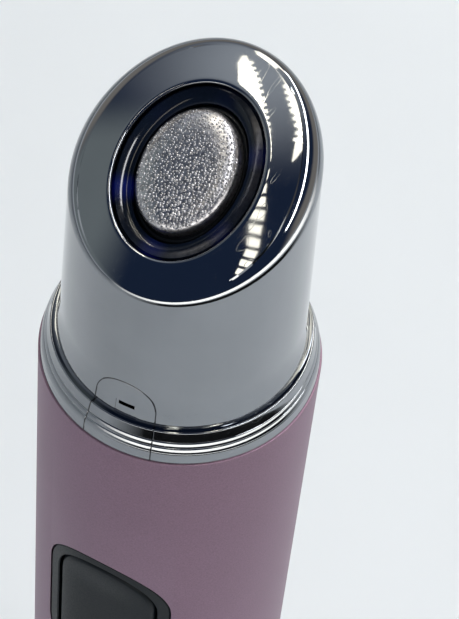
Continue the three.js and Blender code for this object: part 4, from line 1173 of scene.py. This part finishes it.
def chrome_plated_abs(scene):
    """Chrome plated on moulded ABS: a bluish dark mirror, a little wavy from the moulding, with faint finger
    haze and hairline scratches, and the thin line that the mould's slide leaves round the snap slot, a fine
    groove with painted shade darkening it."""
    material, tree, shader, spot = start_material("chrome plated ABS")
    colour = scene.wand_finishes.chrome
    shader.inputs["Metallic"].default_value = 1
    # Waviness of the moulding, about 9 mm from crest to crest
    waves = add(tree, "ShaderNodeTexNoise", {"Vector": spot, "Scale": 1 / (9 * MM), "Detail": 1.0})
    # Orange peel of the plating, about 1.2 mm
    peel = add(tree, "ShaderNodeTexNoise", {"Vector": spot, "Scale": 1 / (1.2 * MM), "Detail": 1.0})
    # Finger haze in patches of about 5 mm
    haze = add(tree, "ShaderNodeTexNoise", {"Vector": spot, "Scale": 1 / (5 * MM), "Detail": 4.0})
    # Hairline scratches, 0.03 mm wide and some millimetres long, drawn wide enough to show
    stretched = add(tree, "ShaderNodeMapping", {
        "Vector": spot, "Rotation": (0.5, 0.35, 0.9), "Scale": (1, 0.05, 1),
    })
    fibres = add(tree, "ShaderNodeTexNoise", {"Vector": stretched, "Scale": 1 / (0.8 * MM), "Detail": 0.0})
    # A hairline lies where the fibres' noise passes a level that it seldom reaches
    hair_level = 0.66
    middle = add(tree, "ShaderNodeMath", {0: fibres, 1: hair_level}, operation="SUBTRACT")
    away = add(tree, "ShaderNodeMath", {0: middle}, operation="ABSOLUTE")
    scratch = add(tree, "ShaderNodeMapRange", {
        "Value": away, "From Min": 0.0, "From Max": 0.012, "To Min": 1.0, "To Max": 0.0,
    })
    seam = slide_line(tree, spot, HeadForm(scene))
    toned = add(tree, "ShaderNodeMix", {
        0: haze, 6: shade(colour, 0.9), 7: shade(colour, 1.06),
    }, data_type="RGBA")
    # Painted shade: the slide's line darkened to 0.12 of the chrome for the shade in its fine groove
    shaded_seam = add(tree, "ShaderNodeMix", {0: seam, 6: toned, 7: shade(colour, 0.12)}, data_type="RGBA")
    hazy = add(tree, "ShaderNodeMapRange", {
        "Value": haze, "From Min": 0.4, "From Max": 0.7, "To Min": 0.03, "To Max": 0.08,
    })
    hair_roughness = 0.1
    dull = add(tree, "ShaderNodeMath", {0: scratch, 1: hair_roughness}, operation="MULTIPLY")
    rough = add(tree, "ShaderNodeMath", {0: hazy, 1: dull}, operation="ADD")
    groove = add(tree, "ShaderNodeMath", {0: seam, 1: -1.0}, operation="MULTIPLY")
    # Depths of the marks in millimetres
    normal = add(tree, "ShaderNodeBump", {"Height": peel, "Distance": 0.002 * MM, "Strength": 1.0})
    for height, depth in [(waves, 0.02), (groove, 0.02), (scratch, 0.0006)]:
        normal = add(tree, "ShaderNodeBump", {
            "Height": height, "Distance": depth * MM, "Strength": 1.0, "Normal": normal,
        })
    wire(tree, shader, {"Base Color": shaded_seam, "Roughness": rough, "Normal": normal})
    return material


def anodised_aluminium(scene):
    """Drawn aluminium, blasted and anodised mauve: a soft sheen that breaks into a fine sparkling grain."""
    material, tree, shader, spot = start_material("anodised aluminium")
    shader.inputs["Metallic"].default_value = 0.85
    # Blasting grit of about 0.15 mm
    grain = add(tree, "ShaderNodeTexNoise", {"Vector": spot, "Scale": 1 / (0.15 * MM), "Detail": 2.0})
    # Slow drift of the dye over about 14 mm
    drift = add(tree, "ShaderNodeTexNoise", {"Vector": spot, "Scale": 1 / (14 * MM), "Detail": 2.0})
    dye_share = 0.3
    faint = add(tree, "ShaderNodeMath", {0: drift, 1: dye_share}, operation="MULTIPLY")
    both = add(tree, "ShaderNodeMath", {0: grain, 1: faint}, operation="ADD")
    share = add(tree, "ShaderNodeMapRange", {"Value": both, "From Min": 0.4, "From Max": 0.9})
    coat(tree, shader, scene.wand_finishes.mauve, (0.82, 1.16), share, grain, (0.38, 0.5), 0.012 * MM)
    return material


def smoked_acrylic(scene):
    """Smoked acrylic, polished: nearly black, glossy, with blue glow painted in spots over the emitters."""
    material, tree, shader, spot = start_material("smoked acrylic")
    finishes = scene.wand_finishes
    form = HeadForm(scene)
    face = form.face
    shader.inputs["IOR"].default_value = 1.49
    # Faint flow marks of about 3 mm
    flow = add(tree, "ShaderNodeTexNoise", {"Vector": spot, "Scale": 1 / (3 * MM), "Detail": 2.0})
    toned = add(tree, "ShaderNodeMix", {
        0: flow, 6: shade(finishes.smoke, 0.8), 7: shade(finishes.smoke, 1.3),
    }, data_type="RGBA")
    rough = add(tree, "ShaderNodeMapRange", {"Value": flow, "To Min": 0.06, "To Max": 0.12})
    # Painted glow: only some emitters' spots are lit at rest, mostly the one at the lower left
    strengths = [0.3, 0.04, 0.04, 1.0, 0.35, 0.3]
    total = None
    for i, strength in enumerate(strengths):
        turn = FULL_TURN * (i + 0.5) / face.emitter_count
        x = (face.across - face.ring_width / 2) * math.cos(turn)
        y = (face.along - face.ring_width / 2) * math.sin(turn)
        source = form.to_wand @ Vector((x, y, form.sag(x, y) - face.ring_recess - face.ring_fall))
        away = add(tree, "ShaderNodeVectorMath", {0: spot, 1: source}, operation="DISTANCE")
        near = add(tree, "ShaderNodeMapRange", {
            "Value": away, "From Min": 0.2 * MM, "From Max": face.emitter_glow,
            "To Min": strength, "To Max": 0.0,
        }, interpolation_type="SMOOTHSTEP")
        total = add(tree, "ShaderNodeMath", {0: total, 1: near}, operation="ADD") if total else near
    light = add(tree, "ShaderNodeMath", {0: total, 1: flow}, operation="MULTIPLY")
    glow_strength = 0.12
    # Blue glow painted on the ring as emission; the emitters under it give no light
    painted_glow = add(tree, "ShaderNodeMath", {0: light, 1: glow_strength}, operation="MULTIPLY")
    shader.inputs["Emission Color"].default_value = shade(finishes.glow)
    wire(tree, shader, {"Base Color": toned, "Roughness": rough, "Emission Strength": painted_glow})
    return material


def pebbled_steel(scene):
    """Stainless steel, coined into pebbles and polished: bright caps, dark gaps and a mirror shoulder."""
    material, tree, shader, spot = start_material("pebbled stainless steel")
    colour = scene.wand_finishes.steel
    shader.inputs["Metallic"].default_value = 1
    # Tone of the metal from pebble to pebble, about 0.35 mm
    tone = add(tree, "ShaderNodeTexNoise", {"Vector": spot, "Scale": 1 / (0.35 * MM), "Detail": 2.0})
    share = add(tree, "ShaderNodeMapRange", {"Value": tone, "From Min": 0.35, "From Max": 0.65})
    toned = add(tree, "ShaderNodeMix", {
        0: share, 6: shade(colour, 0.66), 7: shade(colour, 1.15),
    }, data_type="RGBA")
    rough = add(tree, "ShaderNodeMapRange", {"Value": tone, "To Min": 0.24, "To Max": 0.34})
    # Tool marks of 0.08 mm on the caps
    marks = add(tree, "ShaderNodeTexNoise", {"Vector": spot, "Scale": 1 / (0.08 * MM), "Detail": 1.0})
    bump = add(tree, "ShaderNodeBump", {"Height": marks, "Distance": 0.004 * MM, "Strength": 1.0})
    wire(tree, shader, {"Base Color": toned, "Roughness": rough, "Normal": bump})
    return material


# Plain finishes by the material's name. Grain and its depth are in millimetres, gloss is the least and most
# roughness, and spread is how far the colour drifts.
PLAIN_FINISHES = {
    # Black ABS, moulded against spark-eroded steel: deep matte grain that shades most of its own sheen
    "moulded ABS": dict(colour="black", grain=0.2, depth=0.01, gloss=(0.38, 0.52), spread=0.15, sheen=0.22),
    # Slate-black polycarbonate with soft-touch lacquer: even low sheen, slightly polished by the thumb
    "soft-touch lacquer": dict(
        colour="button", grain=0.18, depth=0.008, gloss=(0.3, 0.44), spread=0.2, sheen=0.14
    ),
    # Natural nylon, moulded: milky, waxy and a little uneven
    "moulded nylon": dict(colour="nylon", grain=0.5, depth=0.01, gloss=(0.42, 0.58), spread=0.05),
    # Silicone rubber, moulded: dull and dark, with a dusting of release powder
    "silicone rubber": dict(colour="rubber", grain=0.3, depth=0.01, gloss=(0.6, 0.85), spread=0.25),
    # Glass-fibre laminate under green solder mask: glossy lacquer with the cloth's weave faintly below it
    "solder mask": dict(colour="mask", grain=0.4, depth=0.006, gloss=(0.22, 0.36), spread=0.2),
    # Epoxy with phosphor, cast: warm, glossy and slightly cloudy
    "cast epoxy": dict(colour="lens", grain=0.5, depth=0.003, gloss=(0.12, 0.25), spread=0.06),
    # Nickel plated on steel: warm silver with the drawn wire's fine lines dulled by the bath
    "nickel plate": dict(
        colour="nickel", grain=0.12, depth=0.003, gloss=(0.22, 0.36), spread=0.1, metallic=1
    ),
    # Deep-drawn steel can: grey, with faint lines from the die
    "drawn steel": dict(colour="steel", grain=0.1, depth=0.004, gloss=(0.25, 0.4), spread=0.12, metallic=1),
    # Brass, turned: yellow and bright, with tarnish starting in patches
    "turned brass": dict(colour="brass", grain=0.1, depth=0.004, gloss=(0.25, 0.42), spread=0.18, metallic=1),
    # Blue PVC film, shrunk on: tight and glossy with slight wrinkles
    "shrink wrap": dict(colour="wrap", grain=1.2, depth=0.02, gloss=(0.2, 0.34), spread=0.1),
    # Silicone insulation, red and black: soft sheen
    "red insulation": dict(colour="red_lead", grain=0.3, depth=0.005, gloss=(0.42, 0.58), spread=0.12),
    "black insulation": dict(colour="black_lead", grain=0.3, depth=0.005, gloss=(0.42, 0.58), spread=0.2),
    # Black card of the studio: dull, with the pulp's unevenness
    "black card": dict(colour="card", grain=20, depth=0.1, gloss=(0.8, 0.9), spread=0.2),
}


def plain_finish(scene, name):
    """One of the plain finishes, with a colour that drifts over about 6 mm."""
    finish = {"metallic": 0, "sheen": 0.5, **PLAIN_FINISHES[name]}
    material, tree, shader, spot = start_material(name)
    shader.inputs["Metallic"].default_value = finish["metallic"]
    shader.inputs["Specular IOR Level"].default_value = finish["sheen"]
    scale = 1 / (finish["grain"] * MM)
    noise = add(tree, "ShaderNodeTexNoise", {"Vector": spot, "Scale": scale, "Detail": 3.0})
    drift = add(tree, "ShaderNodeTexNoise", {"Vector": spot, "Scale": 1 / (6 * MM), "Detail": 2.0})
    colour = getattr(scene.wand_finishes, finish["colour"])
    shades = (1 - finish["spread"], 1 + finish["spread"])
    coat(tree, shader, colour, shades, drift, noise, finish["gloss"], finish["depth"] * MM)
    return material


class DressInside(bpy.types.Operator):
    """Gives the pieces inside the wand and the charging socket their finishes"""

    bl_idname = "toning_wand.inside"
    bl_label = "Inside pieces"

    finishes = {
        "moulded ABS": ["controller_chip", "step_up_coil", "switch_plunger", "socket_tongue"],
        "moulded nylon": ["head_carrier", "chassis"],
        "silicone rubber": ["motor_sleeve"],
        "drawn steel": ["vibration_motor", "switch_body"],
        "turned brass": ["eccentric_weight", "storage_capacitor"],
        "solder mask": ["led_board", "main_board", "charge_board"],
        "shrink wrap": ["battery_cell"],
        "red insulation": ["electrode_lead", "motor_lead_red", "charge_lead_red"],
        "black insulation": ["light_lead", "motor_lead_black", "charge_lead_black"],
        "nickel plate": [
            "motor_shaft", "board_screw_1", "board_screw_2", "head_screw_1", "head_screw_2",
            "battery_tab_bottom", "battery_tab_top", "handle_contact", "charging_socket",
        ],
    }

    def execute(self, context):
        for finish, names in self.finishes.items():
            material = plain_finish(context.scene, finish)
            for name in names:
                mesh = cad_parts[name].data
                mesh.materials.clear()
                mesh.materials.append(material)
        return {"FINISHED"}


# Stage

def pale_floor(scene):
    """Painted studio floor: pale, matte, with the roller's faint unevenness of about 40 mm."""
    material, tree, shader, spot = start_material("painted floor")
    colour = scene.wand_finishes.floor
    shader.inputs["Roughness"].default_value = 0.8
    shader.inputs["Specular IOR Level"].default_value = 0.1
    drift = add(tree, "ShaderNodeTexNoise", {"Vector": spot, "Scale": 1 / (40 * MM), "Detail": 2.0})
    toned = add(tree, "ShaderNodeMix", {
        0: drift, 6: shade(colour, 0.97), 7: shade(colour, 1.02),
    }, data_type="RGBA")
    wire(tree, shader, {"Base Color": toned})
    return material


def shining(name, colour, strength):
    """A surface of the studio that shines by itself."""
    material, _, shader, _ = start_material(name)
    shader.inputs["Emission Color"].default_value = shade(linear(colour))
    shader.inputs["Emission Strength"].default_value = strength
    return material


def studio_world(scene):
    """The room: pale walls low down, a pale ceiling patch behind, a grey wall at the left, dark in front."""
    world = bpy.data.worlds.new("studio")
    world.use_nodes = True
    tree = world.node_tree
    tree.nodes.clear()
    way = add(tree, "ShaderNodeTexCoord").outputs["Generated"]
    parts = add(tree, "ShaderNodeSeparateXYZ", {0: way}).outputs
    # How far a direction lies from the middle of the pale ceiling patch
    off = add(tree, "ShaderNodeMapping", {"Vector": way, "Location": (0.36, -0.6, 0), "Scale": (1.8, 2.0, 0)})
    distance = add(tree, "ShaderNodeVectorMath", {0: off}, operation="LENGTH")
    pale = add(tree, "ShaderNodeMapRange", {
        "Value": distance, "From Min": 0.0, "From Max": 1.4, "To Min": 1.0, "To Max": 0.0,
    }, interpolation_type="SMOOTHSTEP")
    # The left side, the front, the low walls and the horizon: axis, where each starts and where it is full
    left, front, low, horizon = [
        add(tree, "ShaderNodeMapRange", {
            "Value": parts[axis], "From Min": start, "From Max": full,
        }, interpolation_type="SMOOTHSTEP")
        for axis, start, full in [(0, -0.32, -0.6), (1, 0.0, -0.3), (2, 0.62, 0.45), (2, 0.2, 0.05)]
    ]
    behind = add(tree, "ShaderNodeMath", {0: 1.0, 1: front}, operation="SUBTRACT")
    around = add(tree, "ShaderNodeMath", {0: behind, 1: low}, operation="MULTIPLY")
    wall = add(tree, "ShaderNodeMath", {0: front, 1: left}, operation="MULTIPLY")
    dark = add(tree, "ShaderNodeMath", {0: front, 1: wall}, operation="SUBTRACT")
    open_side = add(tree, "ShaderNodeMath", {0: 1.0, 1: dark}, operation="SUBTRACT")
    glow = add(tree, "ShaderNodeMath", {0: horizon, 1: open_side}, operation="MULTIPLY")
    room = shade(linear("#2B3A56"))
    layers = [
        (pale, linear("#DDE3EA")), (around, linear("#ABA59E")), (wall, linear("#9CA5A7")),
        (glow, scene.wand_finishes.floor),
    ]
    for share, colour in layers:
        room = add(tree, "ShaderNodeMix", {0: share, 6: room, 7: shade(colour)}, data_type="RGBA")
    light = add(tree, "ShaderNodeBackground", {"Color": room, "Strength": 1.0})
    add(tree, "ShaderNodeOutputWorld", {"Surface": light})
    return world


def lamp(name, spot, target, power, width, reach):
    """Adds a rectangular lamp that points at a target. Its power is in watts, the rest in metres."""
    light = bpy.data.lights.new(name, "AREA")
    light.energy = power
    light.shape = "RECTANGLE"
    light.size = width
    light.size_y = reach
    obj = show(name, light)
    turn = (Vector(target) - Vector(spot)).to_track_quat("-Z", "Y").to_matrix().to_4x4()
    obj.matrix_world = Matrix.Translation(spot) @ turn
    obj.visible_camera = False
    return obj


def studio_piece(name, work, material):
    """Turns a skin into a piece of the studio that the camera doesn't see."""
    mesh = bpy.data.meshes.new(name)
    work.to_mesh(mesh)
    work.free()
    piece = dressed(name, mesh, material)
    piece.visible_camera = False
    return piece


class BuildStage(bpy.types.Operator):
    """Builds the pale floor, the studio's light and the camera"""

    bl_idname = "toning_wand.stage"
    bl_label = "Stage, light and camera"

    def execute(self, context):
        scene = context.scene
        # Half width of the floor in metres
        half = 12
        corners = [(-half, -half, 0), (half, -half, 0), (half, half, 0), (-half, half, 0)]
        mesh = bpy.data.meshes.new("studio_floor")
        mesh.from_pydata(corners, [], [range(len(corners))])
        dressed("studio_floor", mesh, pale_floor(scene))
        scene.world = studio_world(scene)
        scene.view_settings.view_transform = "Standard"
        lamp("right_strip", spot=(0.31, 0.18, 0.68), target=(0, 0, 0.13), power=3.4, width=1, reach=0.07)
        window = lamp(
            "back_window", spot=(0.7, 0.7, 0.9), target=(0, 0, 0.05), power=4.5, width=0.6, reach=0.6
        )
        window.visible_glossy = False
        self.ceiling_lamps()
        flag = plain_finish(scene, "black card")
        # White card in full light: warm and even
        glow = shining("white card", "#FFFBF2", strength=3.0)
        self.low_card("dark_flag", flag, distance=0.17, height=0.078, start=-113, end=40)
        self.low_card("front_glow", glow, distance=0.55, height=0.15, start=-119, end=40)
        self.camera(scene)
        return {"FINISHED"}

    def low_card(self, name, material, distance, height, start, end):
        """A low card bent round the wand from one azimuth to another, in degrees. Only mirrors show it, and
        it fades out towards both ends."""
        steps = 48
        fade_steps = 9
        work = bmesh.new()
        cover = work.verts.layers.float.new("cover")
        pairs = []
        for i, turn in enumerate(spaced(math.radians(start), math.radians(end), steps)):
            foot = Vector((distance * math.cos(turn), distance * math.sin(turn), 0))
            pairs.append((work.verts.new(foot), work.verts.new(foot + Vector((0, 0, height)))))
            for vert in pairs[-1]:
                vert[cover] = min(i, steps - i, fade_steps) / fade_steps
        for before, after in zip(pairs, pairs[1:]):
            work.faces.new([before[0], after[0], after[1], before[1]])
        card = studio_piece(name, work, material)
        card.visible_diffuse = False
        card.visible_shadow = False
        tree = material.node_tree
        shown = add(tree, "ShaderNodeAttribute", attribute_name="cover").outputs["Fac"]
        wire(tree, tree.nodes["Principled BSDF"], {"Alpha": shown})

    def ceiling_lamps(self):
        """Curved rows of lamps over the wand that the mirror face shows: solid ones, toothed ones, panels."""
        # Stations of each row in millimetres: middle across, middle along, width
        solid_rows = [
            [(-331, 392, 26), (-309, 345, 66), (-228, 238, 104), (-102, 114, 62), (0, -5, 44),
             (92, -170, 36)],
            [(-290, 470, 10), (-206, 434, 14), (-123, 392, 20), (-20, 312, 28), (92, 198, 40),
             (193, 103, 54), (223, 17, 56), (240, -86, 8)],
            [(-200, 430, 150), (-190, 700, 300), (-100, 1000, 500)],
        ]
        tooth_pitch = 40
        tooth_reach = 16
        tooth_fill = 0.5
        panel_row = [(102, -215, 80), (228, -468, 86), (356, -786, 92), (408, -1120, 92)]
        panel_pitch = 98
        panel_fill = 0.68
        work = bmesh.new()
        for row in solid_rows:
            self.lay_row(work, row, pitch=0, fill=1)
        # The first two rows have teeth along their facing edges
        for row, reach in [(solid_rows[0][1:], tooth_reach), (solid_rows[1][3:-1], -tooth_reach)]:
            teeth = [(x + reach, y + reach / 2, w) for x, y, w in row]
            self.lay_row(work, teeth, tooth_pitch, tooth_fill)
        self.lay_row(work, panel_row, panel_pitch, panel_fill)
        # Opal panels of the studio's lamps: warm white
        studio_piece("lamp_panels", work, shining("lamp panel", "#FFF6E0", strength=4.0))

    def lay_row(self, work, stations, pitch, fill):
        """Lays a row of lamps along its stations: unbroken, or as panels that fill a share of their pitch."""
        # Height of the lamps over the floor, in metres
        height = 1.14
        spots = [Vector((x, y, 0)) * MM for x, y, _ in stations]
        widths = [w * MM for _, _, w in stations]
        for i in range(len(spots) - 1):
            run = spots[i + 1] - spots[i]
            count = max(round(run.length / (pitch * MM)), 1) if pitch else 1
            for j in range(count):
                corners = []
                for part in (j / count, (j + fill) / count):
                    middle = spots[i].lerp(spots[i + 1], part) + Vector((0, 0, height))
                    half = (widths[i] + (widths[i + 1] - widths[i]) * part) / 2
                    heading = self.heading(spots, i).lerp(self.heading(spots, i + 1), part)
                    side = heading.cross(Vector((0, 0, 1))).normalized() * half
                    corners.append((middle - side, middle + side))
                around = [*corners[0], *corners[1][::-1]]
                work.faces.new([work.verts.new(p) for p in around])

    def heading(self, spots, i):
        """Direction of a row at one of its stations."""
        return (spots[min(i + 1, len(spots) - 1)] - spots[max(i - 1, 0)]).normalized()

    def camera(self, scene):
        """The camera at the photograph's viewing angle."""
        azimuth = math.radians(23.6)
        elevation = math.radians(53.5)
        roll = math.radians(6.34)
        # Where the camera looks and stands, in millimetres
        target_height = 115
        aside = 4.473
        up = 3.323
        away = 240.36
        level = math.cos(elevation)
        forward = Vector((-math.sin(azimuth) * level, math.cos(azimuth) * level, -math.sin(elevation)))
        right = Vector((math.cos(azimuth), math.sin(azimuth), 0))
        down = forward.cross(right)
        turned_right = right * math.cos(roll) - down * math.sin(roll)
        turned_down = right * math.sin(roll) + down * math.cos(roll)
        target = Vector((0, 0, target_height * MM))
        spot = target + turned_right * aside * MM - turned_down * up * MM - forward * away * MM
        data = bpy.data.cameras.new("photo_camera")
        data.lens = 152.9
        data.sensor_width = 36
        data.clip_start = 10 * MM
        camera = show("photo_camera", data)
        turn = Matrix((turned_right, -turned_down, -forward)).transposed().to_4x4()
        camera.matrix_world = Matrix.Translation(spot) @ turn
        scene.camera = camera


class WandPanel(bpy.types.Panel):
    """Lists the wand's sizes and its builders"""

    bl_idname = "VIEW3D_PT_toning_wand"
    bl_label = "Toning Wand"
    bl_space_type = "VIEW_3D"
    bl_region_type = "UI"
    bl_category = "Toning Wand"

    def draw(self, context):
        layout = self.layout
        for operator in OPERATORS:
            layout.operator(operator.bl_idname)
        for group in GROUPS:
            box = layout.box()
            sizes = getattr(context.scene, group)
            for name in sizes.bl_rna.properties.keys():
                if name not in ("rna_type", "name"):
                    box.prop(sizes, name)


GROUPS = {
    "wand_handle": HandleSizes,
    "wand_head": HeadSizes,
    "wand_face": FaceSizes,
    "wand_button": ButtonSizes,
    "wand_finishes": Finishes,
}

OPERATORS = [
    BuildHeadShell, BuildLightRing, BuildCup, BuildContactPlate, BuildEmitters, BuildHandle, BuildEndCap,
    BuildButton, DressInside, BuildStage,
]


def register():
    """Registers the classes and puts the property groups on the scene."""
    for name, group in GROUPS.items():
        bpy.utils.register_class(group)
        setattr(bpy.types.Scene, name, bpy.props.PointerProperty(type=group))
    for operator in OPERATORS:
        bpy.utils.register_class(operator)
    bpy.utils.register_class(WandPanel)


def unregister():
    """Takes the classes and the property groups away."""
    bpy.utils.unregister_class(WandPanel)
    for operator in reversed(OPERATORS):
        bpy.utils.unregister_class(operator)
    for name, group in reversed(GROUPS.items()):
        delattr(bpy.types.Scene, name)
        bpy.utils.unregister_class(group)


def main():
    """Builds the wand and its stage."""
    register()
    bpy.ops.toning_wand.head_shell()
    bpy.ops.toning_wand.light_ring()
    bpy.ops.toning_wand.cup()
    bpy.ops.toning_wand.contact_plate()
    bpy.ops.toning_wand.emitters()
    bpy.ops.toning_wand.handle()
    bpy.ops.toning_wand.end_cap()
    bpy.ops.toning_wand.button()
    bpy.ops.toning_wand.inside()
    bpy.ops.toning_wand.stage()


if __name__ == "__main__":
    main()
